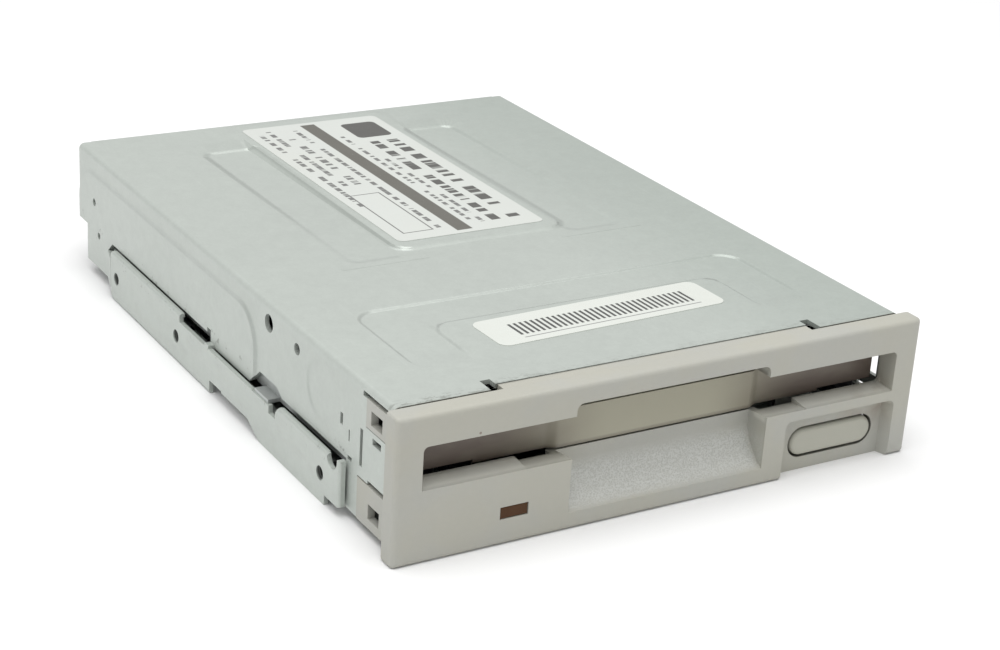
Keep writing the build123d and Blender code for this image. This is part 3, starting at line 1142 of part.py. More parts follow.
with BuildPart() as stepper_motor:
    along(SCREW_X, STEPPER_Y, STEPPER_Y + STEPPER_L, SCREW_Z, STEPPER_R)
    chamfer(stepper_motor.edges().filter_by(GeomType.CIRCLE), 0.6)
    # seam between the two cups of the can
    with BuildSketch(face_at(STEPPER_Y + STEPPER_L / 2 + 0.3)):
        with Locations((SCREW_X, SCREW_Z)):
            Circle(STEPPER_R + 1)
            Circle(STEPPER_R - 0.4, mode=Mode.SUBTRACT)
    extrude(amount=0.6, mode=Mode.SUBTRACT)
    # winding block under the can
    block(SCREW_X - 4, SCREW_X + 4, STEPPER_Y + 3, STEPPER_Y + STEPPER_L - 2, MAIN_TOP, SCREW_Z - 4)
    along(SCREW_X, STEPPER_Y - 1, STEPPER_Y + 3.4, SCREW_Z, TAIL_R + RUN_FIT, mode=Mode.SUBTRACT)
save(stepper_motor, "stepper_motor")

# spindle motor
TEETH = 9
BEARING_R = 5.0
FLANGE_R = 9.0
CORE_T = 0.8
CORE_R = 21.6
COIL_IN = 11.5
COIL_OUT = 18.5
TOOTH_W = 3.0
SHAFT_R = 2.0
CUP_T = 0.7
MAGNET_T = 2.0
HUB_NECK = 9.0
HUB_T = 1.7
HUB_MAG_R0 = 4.2
HUB_MAG_R1 = 8.6
DRIVE_R = 10.8
BOARD_X = 31.0
BOARD_D0 = 27.0
BOARD_D1 = 80.0
CORE_Z = BOARD_TOP + 0.8

with BuildPart() as motor_board:
    with BuildSketch(Plane.XY.offset(BOARD_Z)):
        with Locations((0, y_at((BOARD_D0 + BOARD_D1) / 2))):
            RectangleRounded(2 * BOARD_X, BOARD_D1 - BOARD_D0, 3.0)
        # arm to the indicator's lamp
        with Locations((LENS_X, y_at((LENS_L + 0.9 + BOARD_D0 + 4) / 2))):
            Rectangle(7.0, BOARD_D0 + 4 - LENS_L - 0.9)
        for sx in (-1, 1):
            for sd in (-1, 1):
                with Locations((sx * BOARD_BOSS_X, y_at(SPINDLE_Y + sd * BOARD_BOSS_D))):
                    Circle(SCREW_SHANK, mode=Mode.SUBTRACT)
    extrude(amount=MOTOR_BOARD_T)
save(motor_board, "motor_board")

with BuildPart() as spindle_bearing:
    with BuildSketch(Plane((0, y_at(SPINDLE_Y), BOARD_TOP))):
        Circle(FLANGE_R)
        Circle(SHAFT_R + RUN_FIT, mode=Mode.SUBTRACT)
    extrude(amount=CORE_Z - BOARD_TOP)
    with BuildSketch(Plane((0, y_at(SPINDLE_Y), CORE_Z))):
        Circle(BEARING_R)
        Circle(SHAFT_R + RUN_FIT, mode=Mode.SUBTRACT)
    extrude(amount=ROTOR_TOP - CUP_T - 0.3 - CORE_Z)
save(spindle_bearing, "spindle_bearing")

with BuildPart() as stator_core:
    with BuildSketch(Plane((0, y_at(SPINDLE_Y), CORE_Z))):
        Circle(COIL_IN)
        with PolarLocations((COIL_IN + CORE_R) / 2 - 1, TEETH):
            Rectangle(CORE_R - COIL_IN, TOOTH_W)
        with PolarLocations(CORE_R - 1.0, TEETH):
            Rectangle(2.0, TOOTH_W + 5)
        Circle(BEARING_R, mode=Mode.SUBTRACT)
    extrude(amount=CORE_T)
save(stator_core, "stator_core")

with BuildPart() as stator_coils:
    with BuildSketch(Plane((0, y_at(SPINDLE_Y), CORE_Z - 0.5))):
        with PolarLocations((COIL_IN + COIL_OUT) / 2 + 0.2, TEETH):
            RectangleRounded(COIL_OUT - COIL_IN - 1.0, TOOTH_W + 1.6, 0.6)
    extrude(amount=CORE_T + 1.0)
    with BuildSketch(Plane((0, y_at(SPINDLE_Y), CORE_Z))):
        with PolarLocations((COIL_IN + CORE_R) / 2 - 1, TEETH):
            Rectangle(CORE_R - COIL_IN, TOOTH_W)
    extrude(amount=CORE_T, mode=Mode.SUBTRACT)
save(stator_coils, "stator_coils")

with BuildPart() as rotor_cup:
    with BuildSketch(Plane.XZ.offset(-y_at(SPINDLE_Y))) as cup:
        with BuildLine():
            Polyline(
                (SHAFT_R, ROTOR_TOP - CUP_T),
                (ROTOR_R - CUP_T, ROTOR_TOP - CUP_T),
                (ROTOR_R - CUP_T, ROTOR_Z),
                (ROTOR_R, ROTOR_Z),
                (ROTOR_R, ROTOR_TOP),
                (SHAFT_R, ROTOR_TOP),
                close=True,
            )
        make_face()
        chamfer(cup.vertices().sort_by(Axis.X)[-1:], 0.4)
    revolve(axis=Axis((0, y_at(SPINDLE_Y), 0), (0, 0, 1)))
save(rotor_cup, "rotor_cup")

with BuildPart() as rotor_magnet:
    with BuildSketch(Plane((0, y_at(SPINDLE_Y), ROTOR_Z + 0.1))):
        Circle(ROTOR_R - CUP_T)
        Circle(ROTOR_R - CUP_T - MAGNET_T, mode=Mode.SUBTRACT)
    extrude(amount=ROTOR_H - CUP_T - 0.1)
save(rotor_magnet, "rotor_magnet")

with BuildPart() as spindle_shaft:
    post(0, SPINDLE_Y, BOARD_TOP + 0.1, DISK_DOWN + 1.8, SHAFT_R)
    chamfer(spindle_shaft.edges().sort_by(Axis.Z)[-1:], 0.7)
save(spindle_shaft, "spindle_shaft")

with BuildPart() as hub_plate:
    with BuildSketch(Plane.XZ.offset(-y_at(SPINDLE_Y))):
        with BuildLine():
            Polyline(
                (SHAFT_R, ROTOR_TOP),
                (HUB_NECK, ROTOR_TOP),
                (HUB_NECK, DISK_DOWN - HUB_T),
                (HUB_R, DISK_DOWN - HUB_T),
                (HUB_R, DISK_DOWN - 0.5),
                (HUB_R - 0.5, DISK_DOWN),
                (HUB_MAG_R1, DISK_DOWN),
                (HUB_MAG_R1, DISK_DOWN - 0.9),
                (HUB_MAG_R0, DISK_DOWN - 0.9),
                (HUB_MAG_R0, DISK_DOWN),
                (SHAFT_R, DISK_DOWN),
                close=True,
            )
        make_face()
    revolve(axis=Axis((0, y_at(SPINDLE_Y), 0), (0, 0, 1)))
save(hub_plate, "hub_plate")

with BuildPart() as hub_magnet:
    with BuildSketch(Plane((0, y_at(SPINDLE_Y), DISK_DOWN - 0.9))):
        Circle(HUB_MAG_R1)
        Circle(HUB_MAG_R0, mode=Mode.SUBTRACT)
    extrude(amount=0.8)
save(hub_magnet, "hub_magnet")

with BuildPart() as drive_pin:
    post(0, SPINDLE_Y + DRIVE_R, DISK_DOWN, DISK_DOWN + 1.7, 1.2)
    chamfer(drive_pin.edges().sort_by(Axis.Z)[-1:], 0.4)
save(drive_pin, "drive_pin")

# sensors
with BuildPart() as index_sensor:
    block(ROTOR_R + 1.2, ROTOR_R + 4.0, SPINDLE_Y - 2, SPINDLE_Y + 2, BOARD_TOP, BOARD_TOP + 2.2)
    chamfer(index_sensor.edges().filter_by(Axis.Z), 0.5)
save(index_sensor, "index_sensor")

with BuildPart() as track_sensor:
    x1 = WINDOW_X0 - 1.2
    block(x1 - 6.5, x1, FLAG_D - 2, FLAG_D + 5, DECK_TOP, FLAG_Z + 3.2)
    block(x1 - 3.8, x1 + 1, FLAG_D - 3, FLAG_D + 6, FLAG_Z - FREE, FLAG_Z + 0.6 + FREE,
          mode=Mode.SUBTRACT)
save(track_sensor, "track_sensor")

# media switches on the deck's tongues, each with its plunger
PLUNGER_R = 0.9
PLUNGER_UP = 0.8            # plunger over the underside of a loaded disk
PRESS = 0.9

with BuildPart() as switch_bodies:
    for x in SWITCH_X:
        block(x - SWITCH_W / 2, x + SWITCH_W / 2, SWITCH_D - SWITCH_L / 2, SWITCH_D + SWITCH_L / 2,
              DECK_TOP, DECK_TOP + SWITCH_H)
    chamfer(switch_bodies.edges().filter_by(Axis.Z), 0.4)
    for x in SWITCH_X:
        post(x, SWITCH_D, DECK_TOP + 0.2, DECK_TOP + SWITCH_H + 1, PLUNGER_R + RUN_FIT,
             mode=Mode.SUBTRACT)
save(switch_bodies, "switch_bodies")

PLUNGER_Z = DECK_TOP + 0.2 + PRESS + 0.1

with BuildPart() as write_plunger:
    post(SWITCH_X[0], SWITCH_D, PLUNGER_Z, DISK_DOWN + PLUNGER_UP, PLUNGER_R)
    chamfer(write_plunger.edges().sort_by(Axis.Z)[-1:], 0.4)
save(write_plunger, "write_plunger")

with BuildPart() as media_plunger:
    post(SWITCH_X[1], SWITCH_D, PLUNGER_Z, DISK_DOWN + PLUNGER_UP, PLUNGER_R)
    chamfer(media_plunger.edges().sort_by(Axis.Z)[-1:], 0.4)
save(media_plunger, "media_plunger")

with BuildPart() as density_plunger:
    post(SWITCH_X[2], SWITCH_D, PLUNGER_Z, DISK_DOWN + PLUNGER_UP, PLUNGER_R)
    chamfer(density_plunger.edges().sort_by(Axis.Z)[-1:], 0.4)
save(density_plunger, "density_plunger")

# main board with its chips and connectors at the rear
MAIN_X = 44.0
CONNECTOR_SET = 0.4         # connectors' faces ahead of the rear edge
MAIN_SET = 2.5
PITCH = 2.54
DATA_COLS = 17
DATA_X = -15.0
DATA_END = 4.9              # housing beyond the outer pins
DATA_H = 9.0
DATA_L = 9.6
DATA_WALL = 1.1
DATA_BACK = 1.6             # wall that the pins pass
KEY_W = 4.6                 # keyway
KEY_PLAY = 0.4
PIN_SET = 1.0               # pins' tips inside the mouth
PIN_TAIL = 1.4              # pins behind the housing
PIN_SQ = 0.64
POWER_PITCH = 2.5
POWER_N = 4
POWER_X = 37.0
POWER_END = 2.1
POWER_H = 7.6
POWER_L = 10.0
POWER_SIDE = 1.0
POWER_FLOOR = 1.3
POWER_ROOF = 0.9
POWER_BACK = 1.6
LATCH_W = 4.0
LATCH_DOWN = 2.0
POWER_PIN_SET = 1.2
POWER_PIN_TAIL = 0.8
CONNECTOR_D = DEPTH - CONNECTOR_SET
data_w = (DATA_COLS - 1) * PITCH + 2 * DATA_END
power_w = (POWER_N - 1) * POWER_PITCH + 2 * POWER_END

with BuildPart() as main_board:
    with BuildSketch(Plane.XY.offset(MAIN_Z)):
        with Locations((0, y_at((MAIN_D0 + DEPTH - MAIN_SET) / 2))):
            Rectangle(2 * MAIN_X, DEPTH - MAIN_SET - MAIN_D0)
        for sx in (-1, 1):
            for d in MAIN_BOSS_D:
                with Locations((sx * MAIN_BOSS_X, y_at(d))):
                    Circle(SCREW_SHANK, mode=Mode.SUBTRACT)
    extrude(amount=MAIN_BOARD_T)
save(main_board, "main_board")

CHIP_W = 14.0               # controller, square
CHIP_H = 2.0
CHIP_X = -1.0
CHIP_BEHIND = 16.0          # its middle behind the board's front edge
DRIVER_W = 10.0             # two driver chips
DRIVER_L = 8.0
DRIVER_H = 1.6
DRIVER_X = (-27.0, 25.0)
DRIVER_BEHIND = 10.0

with BuildPart() as board_chips:
    with BuildSketch(Plane.XY.offset(MAIN_TOP)):
        with Locations((CHIP_X, y_at(MAIN_D0 + CHIP_BEHIND))):
            Rectangle(CHIP_W, CHIP_W)
    extrude(amount=CHIP_H, taper=6)
    with BuildSketch(Plane.XY.offset(MAIN_TOP)):
        for x in DRIVER_X:
            with Locations((x, y_at(MAIN_D0 + DRIVER_BEHIND))):
                Rectangle(DRIVER_W, DRIVER_L)
    extrude(amount=DRIVER_H, taper=6)
save(board_chips, "board_chips")

with BuildPart() as data_connector:
    with BuildSketch(face_at(CONNECTOR_D)):
        with Locations((DATA_X, MAIN_TOP + DATA_H / 2)):
            Rectangle(data_w, DATA_H)
    extrude(amount=DATA_L)
    with BuildSketch(face_at(CONNECTOR_D)):
        with Locations((DATA_X, MAIN_TOP + DATA_H / 2)):
            Rectangle(data_w - 2 * DATA_WALL, DATA_H - 2 * DATA_WALL)
        # keyway in the upper wall
        with Locations((DATA_X, MAIN_TOP + DATA_H)):
            Rectangle(KEY_W, 2 * DATA_WALL + KEY_PLAY)
    extrude(amount=DATA_L - DATA_BACK, mode=Mode.SUBTRACT)
    with BuildSketch(face_at(CONNECTOR_D - DATA_L)):
        with Locations((DATA_X, MAIN_TOP + DATA_H / 2)):
            with GridLocations(PITCH, PITCH, DATA_COLS, 2):
                Rectangle(PIN_SQ, PIN_SQ)
    extrude(amount=-2, mode=Mode.SUBTRACT)
save(data_connector, "data_connector")

with BuildPart() as data_pins:
    with BuildSketch(face_at(CONNECTOR_D - PIN_SET)):
        with Locations((DATA_X, MAIN_TOP + DATA_H / 2)):
            with GridLocations(PITCH, PITCH, DATA_COLS, 2):
                Rectangle(PIN_SQ, PIN_SQ)
    extrude(amount=DATA_L - PIN_SET + PIN_TAIL)
save(data_pins, "data_pins")

with BuildPart() as power_connector:
    with BuildSketch(face_at(CONNECTOR_D)):
        with Locations((POWER_X, MAIN_TOP + POWER_H / 2)):
            Rectangle(power_w, POWER_H)
    extrude(amount=POWER_L)
    # open at the rear and above, as the plug's latch needs it
    with BuildSketch(face_at(CONNECTOR_D)):
        with Locations((POWER_X, MAIN_TOP + (POWER_H + POWER_FLOOR - POWER_ROOF) / 2)):
            Rectangle(power_w - 2 * POWER_SIDE, POWER_H - POWER_FLOOR - POWER_ROOF)
        with Locations((POWER_X, MAIN_TOP + POWER_H)):
            Rectangle(LATCH_W, 2 * LATCH_DOWN)
    extrude(amount=POWER_L - POWER_BACK, mode=Mode.SUBTRACT)
    with BuildSketch(face_at(CONNECTOR_D - POWER_L)):
        with Locations((POWER_X, MAIN_TOP + POWER_H / 2)):
            with GridLocations(POWER_PITCH, POWER_PITCH, POWER_N, 1):
                Rectangle(PIN_SQ, PIN_SQ)
    extrude(amount=-2, mode=Mode.SUBTRACT)
save(power_connector, "power_connector")

with BuildPart() as power_pins:
    with BuildSketch(face_at(CONNECTOR_D - POWER_PIN_SET)):
        with Locations((POWER_X, MAIN_TOP + POWER_H / 2)):
            with GridLocations(POWER_PITCH, POWER_PITCH, POWER_N, 1):
                Rectangle(PIN_SQ, PIN_SQ)
    extrude(amount=POWER_L - POWER_PIN_SET + POWER_PIN_TAIL)
save(power_pins, "power_pins")

# bottom cover, folded up at both sides
FLOOR_SIDE = 0.35           # cover inside the walls
FLOOR_UP = 4.4
FLOOR_D0 = 9.0
FLOOR_D1 = 127.0
FLOOR_FLANGE_D0 = 20.0
FLOOR_FLANGE_D1 = 116.0
RIB_X = 36.0                # pressed ribs
RIB_W = 4.0
RIB_D0 = 36.0
RIB_D1 = 76.0
RIB_H = 0.5
DISH_R0 = 9.0               # pressed ring round the spindle
DISH_R1 = 15.0
FLOOR_X = DECK_X - FLOOR_SIDE

with BuildPart() as bottom_cover:
    with BuildSketch(Plane.XY.offset(FLOOR_Z)) as cover_plan:
        with Locations((0, y_at((FLOOR_D0 + FLOOR_D1) / 2))):
            RectangleRounded(2 * FLOOR_X, FLOOR_D1 - FLOOR_D0, 2.0)
        with Locations((0, y_at(SPINDLE_Y))):
            Circle(6.0, mode=Mode.SUBTRACT)
        for sx in (-1, 1):
            for d in FLOOR_BOSS_D:
                with Locations((sx * FLOOR_BOSS_X, y_at(d))):
                    Circle(SCREW_SHANK, mode=Mode.SUBTRACT)
    extrude(amount=FLOOR_T)
    for side in (-1, 1):
        inner, outer = side * (FLOOR_X - FLOOR_T), side * FLOOR_X
        block(min(inner, outer), max(inner, outer), FLOOR_FLANGE_D0, FLOOR_FLANGE_D1,
              FLOOR_Z, FLOOR_Z + FLOOR_UP)
    fillet(bottom_cover.edges().filter_by(Axis.Y).group_by(Axis.Z)[0].filter_by(
        lambda e: e.length > 50), 0.5)
    # ribs and a ring round the spindle, pressed outwards and hollow inside
    for z, grow, mode in ((FLOOR_Z, 0, Mode.ADD), (FLOOR_Z + FLOOR_T, -FLOOR_T / 2, Mode.SUBTRACT)):
        with BuildSketch(Plane.XY.offset(z)):
            for sx in (-1, 1):
                with Locations(Location((sx * RIB_X, y_at((RIB_D0 + RIB_D1) / 2)), 90)):
                    SlotOverall(RIB_D1 - RIB_D0 + 2 * grow, RIB_W + 2 * grow)
            with Locations((0, y_at(SPINDLE_Y))):
                Circle(DISH_R1 + grow)
                Circle(DISH_R0 - grow, mode=Mode.SUBTRACT)
        extrude(amount=-RIB_H, taper=45, mode=mode)
save(bottom_cover, "bottom_cover")

# screws, one group for each place
SCREW_HEAD = 2.3
HEAD_H = 0.7

with BuildPart() as bottom_screws:
    for sx in (-1, 1):
        for d in FLOOR_BOSS_D:
            bolt(sx * FLOOR_BOSS_X, d, FLOOR_Z - HEAD_H, FLOOR_Z, SCREW_HEAD)
            bolt(sx * FLOOR_BOSS_X, d, FLOOR_Z, FLOOR_Z + FLOOR_T + SCREW_GRIP, SCREW_SHANK)
save(bottom_screws, "bottom_screws")

with BuildPart() as board_screws:
    for sx in (-1, 1):
        for sd in (-1, 1):
            d = SPINDLE_Y + sd * BOARD_BOSS_D
            bolt(sx * BOARD_BOSS_X, d, BOARD_Z - HEAD_H, BOARD_Z, SCREW_HEAD)
            bolt(sx * BOARD_BOSS_X, d, BOARD_Z, BOARD_TOP + SCREW_GRIP, SCREW_SHANK)
        for d in MAIN_BOSS_D:
            bolt(sx * MAIN_BOSS_X, d, MAIN_Z - HEAD_H, MAIN_Z, SCREW_HEAD)
            bolt(sx * MAIN_BOSS_X, d, MAIN_Z, MAIN_TOP + SCREW_GRIP, SCREW_SHANK)
save(board_screws, "board_screws")

# head cable: a thin ribbon from the carriage to its socket on the main board
RIBBON_W = 8.0
RIBBON_T = 0.3
SOCKET_D = 127.0

with BuildPart() as cable_socket:
    block(-RIBBON_W / 2 - 1, RIBBON_W / 2 + 1, SOCKET_D - 1.2, SOCKET_D + 1.2, MAIN_TOP, MAIN_TOP + 2.0)
save(cable_socket, "cable_socket")

with BuildPart() as head_cable:
    with BuildLine(Plane.YZ):
        Spline(
            (y_at(CAR_END), CAR_Z1 - 0.6),
            (y_at(CAR_END + 4.2), CAR_Z1 + 1.4),
            (y_at(SOCKET_D), MAIN_TOP + 2.0),
            tangents=((1, 0), (0, -1)),
        )
    with BuildSketch(Plane(origin=(0, y_at(CAR_END), CAR_Z1 - 0.6), x_dir=(1, 0, 0), z_dir=(0, 1, 0))):
        Rectangle(RIBBON_W, RIBBON_T)
    sweep()
save(head_cable, "head_cable")
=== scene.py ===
import json
import math

import bmesh
import bpy
from mathutils import Matrix, Vector
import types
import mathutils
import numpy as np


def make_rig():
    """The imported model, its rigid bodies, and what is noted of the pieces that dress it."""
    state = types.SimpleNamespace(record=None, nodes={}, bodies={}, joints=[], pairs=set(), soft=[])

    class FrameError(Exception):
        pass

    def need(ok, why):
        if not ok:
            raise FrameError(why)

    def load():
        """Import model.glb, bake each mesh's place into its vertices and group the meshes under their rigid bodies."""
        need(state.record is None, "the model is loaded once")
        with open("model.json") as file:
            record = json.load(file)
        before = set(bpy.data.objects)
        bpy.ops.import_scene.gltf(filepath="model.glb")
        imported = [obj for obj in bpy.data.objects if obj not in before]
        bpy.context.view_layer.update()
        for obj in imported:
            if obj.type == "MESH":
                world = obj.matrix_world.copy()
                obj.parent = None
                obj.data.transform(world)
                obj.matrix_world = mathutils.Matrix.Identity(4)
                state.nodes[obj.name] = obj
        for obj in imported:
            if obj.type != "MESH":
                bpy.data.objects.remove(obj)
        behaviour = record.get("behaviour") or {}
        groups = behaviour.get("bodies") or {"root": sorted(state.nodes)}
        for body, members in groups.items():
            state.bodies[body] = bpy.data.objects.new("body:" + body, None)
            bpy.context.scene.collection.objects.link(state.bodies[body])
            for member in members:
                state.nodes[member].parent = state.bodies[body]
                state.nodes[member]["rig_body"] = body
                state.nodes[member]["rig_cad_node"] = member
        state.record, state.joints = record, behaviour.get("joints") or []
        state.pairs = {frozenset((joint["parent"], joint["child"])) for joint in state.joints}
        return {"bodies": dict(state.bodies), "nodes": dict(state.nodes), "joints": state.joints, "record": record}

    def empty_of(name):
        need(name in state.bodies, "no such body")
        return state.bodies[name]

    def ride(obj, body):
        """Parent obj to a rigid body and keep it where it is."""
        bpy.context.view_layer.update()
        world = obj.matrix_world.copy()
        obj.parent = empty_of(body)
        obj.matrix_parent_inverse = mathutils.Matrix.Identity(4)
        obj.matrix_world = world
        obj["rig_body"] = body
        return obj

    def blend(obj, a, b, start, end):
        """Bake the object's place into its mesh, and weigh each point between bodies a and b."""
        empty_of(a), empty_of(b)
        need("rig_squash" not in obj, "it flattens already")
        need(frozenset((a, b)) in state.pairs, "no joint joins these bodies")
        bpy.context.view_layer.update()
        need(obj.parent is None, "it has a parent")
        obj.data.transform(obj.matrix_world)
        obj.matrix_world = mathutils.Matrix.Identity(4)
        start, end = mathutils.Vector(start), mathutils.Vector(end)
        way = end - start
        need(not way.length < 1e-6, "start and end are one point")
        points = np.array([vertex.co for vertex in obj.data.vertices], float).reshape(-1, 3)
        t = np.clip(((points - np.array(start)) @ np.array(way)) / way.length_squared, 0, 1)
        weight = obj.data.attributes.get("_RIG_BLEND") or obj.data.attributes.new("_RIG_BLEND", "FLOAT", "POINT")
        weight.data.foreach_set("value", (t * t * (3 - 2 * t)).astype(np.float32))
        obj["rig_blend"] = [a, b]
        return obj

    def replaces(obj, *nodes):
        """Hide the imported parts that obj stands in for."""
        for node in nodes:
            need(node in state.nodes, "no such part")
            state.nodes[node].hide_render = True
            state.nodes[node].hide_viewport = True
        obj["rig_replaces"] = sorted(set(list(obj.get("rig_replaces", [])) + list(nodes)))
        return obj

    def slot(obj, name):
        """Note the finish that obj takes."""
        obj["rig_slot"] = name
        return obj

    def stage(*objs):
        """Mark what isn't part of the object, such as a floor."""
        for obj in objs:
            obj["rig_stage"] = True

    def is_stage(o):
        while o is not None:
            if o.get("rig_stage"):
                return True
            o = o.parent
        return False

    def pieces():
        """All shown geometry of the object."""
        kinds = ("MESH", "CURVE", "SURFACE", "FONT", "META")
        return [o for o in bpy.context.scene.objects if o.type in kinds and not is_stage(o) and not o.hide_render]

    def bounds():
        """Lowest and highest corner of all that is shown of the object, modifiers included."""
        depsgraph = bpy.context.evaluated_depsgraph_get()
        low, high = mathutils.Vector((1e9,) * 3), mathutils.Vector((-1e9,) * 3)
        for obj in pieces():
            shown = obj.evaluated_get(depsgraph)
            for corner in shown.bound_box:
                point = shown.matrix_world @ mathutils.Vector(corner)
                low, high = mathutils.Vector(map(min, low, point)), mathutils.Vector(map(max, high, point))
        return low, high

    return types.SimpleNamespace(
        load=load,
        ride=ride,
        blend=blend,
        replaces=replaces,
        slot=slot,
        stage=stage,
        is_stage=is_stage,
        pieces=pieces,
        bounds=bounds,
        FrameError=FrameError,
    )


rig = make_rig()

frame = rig.load()
cad_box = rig.bounds()
nodes = frame["nodes"]

MM = 0.001
DEPTH = 140.0               # bezel's face to the rear edge, in millimetres


def deep(depth):
    """Millimetres along Y of a depth behind the bezel's face."""
    return depth - DEPTH / 2


def at(x, depth, z):
    """A point of the frame from millimetres: across, behind the bezel's face, up."""
    return Vector((x * MM, deep(depth) * MM, z * MM))


# places on the drive, in millimetres

RAIL_HOLES = (25.15, 85.15, 115.15)         # depths of the tapped holes in both rails
RAIL_HOLE_Z = 5.0
RAIL_FACE_X = 50.5          # where the threads of the holes begin
ROOF = (23.9, 26.0)         # heights that hold the roof's sheet with its pressings
LARGE_LABEL = (-0.4, 100.5, 0.0)            # middles of the two labels
NARROW_LABEL = (0.7, 24.1, 0.0)
NARROW_TURN = 2.2           # degrees
BUTTON = (35.4, 5.2)        # middle of its opening, across and up
BUTTON_HALF = (9.12, 2.87)
LENS_CUTS = ((0, -29.3), (2, 5.67))         # planes through the lens's opening: axis and place

# worn and soiled places of the bezel: two ends and a softness across, up and along Y
SCOOP = ((-19.0, 19.0, 0.9), (3.2, 8.8, 1.1), (deep(0.35), deep(5.2), 0.3))
SLOT_LIP = ((-46.0, 46.0, 0.3), (11.5, 13.2, 0.3), (deep(0.5), deep(3.6), 0.4))
SLOT_TOP = ((-46.0, 46.0, 1.0), (19.6, 20.6, 0.3), (deep(0.7), deep(4.6), 0.3))
RECESS = ((39.0, 47.5, 3.0), (6.0, 14.0, 2.5), (deep(0.3), deep(4.0), 0.2))

# screws: place across on both sides, depths, and the height of the face under their heads
COVER_SCREWS = (43.0, (26.0, 86.0), 1.6)
MOTOR_BOARD_SCREWS = (27.0, (31.0, 75.0), 3.4)
MAIN_BOARD_SCREWS = (38.0, (97.0, 116.0), 3.2)

BOARD_UNDER, BOARD_TOP = 3.2, 4.8           # faces of the main board
BIG_CHIP_X, BIG_CHIP_D, BIG_CHIP_HALF = -1.0, 108.0, 7.0
SMALL_CHIP_XS, SMALL_CHIP_D, SMALL_CHIP_HALF = (-27.0, 25.0), 102.0, 4.0
DATA_X, DATA_ROWS = -15.0, (128.9, 131.44)
POWER_X, POWER_ROW = 37.0, 130.2

FEED_SCREW = (20.0, 102.9, 13.5)            # front end of its thread
PULL_X, PULL_D, PULL_Z = 39.0, 36.5, 6.0    # front ends of the slide springs' coils
PULL_STRETCH = (35.5, 58.0)                 # depths between which they stretch
RIBBON_BEND = ((0, 121.2, 12.0), (0, 126.6, 7.0))
LEVER_PIN, LEVER_WRAP = (38.6, 75.0, 20.8), 1.75        # pivot, and the radius of the wire round it
DOOR_PIN, DOOR_WRAP = (0, 6.4, 21.6), 1.05

FLOAT = "NodeSocketFloat"
WHOLE = "NodeSocketInt"
COLOUR = "NodeSocketColor"
FINISH = "NodeSocketMaterial"
SHAPE = "NodeSocketGeometry"


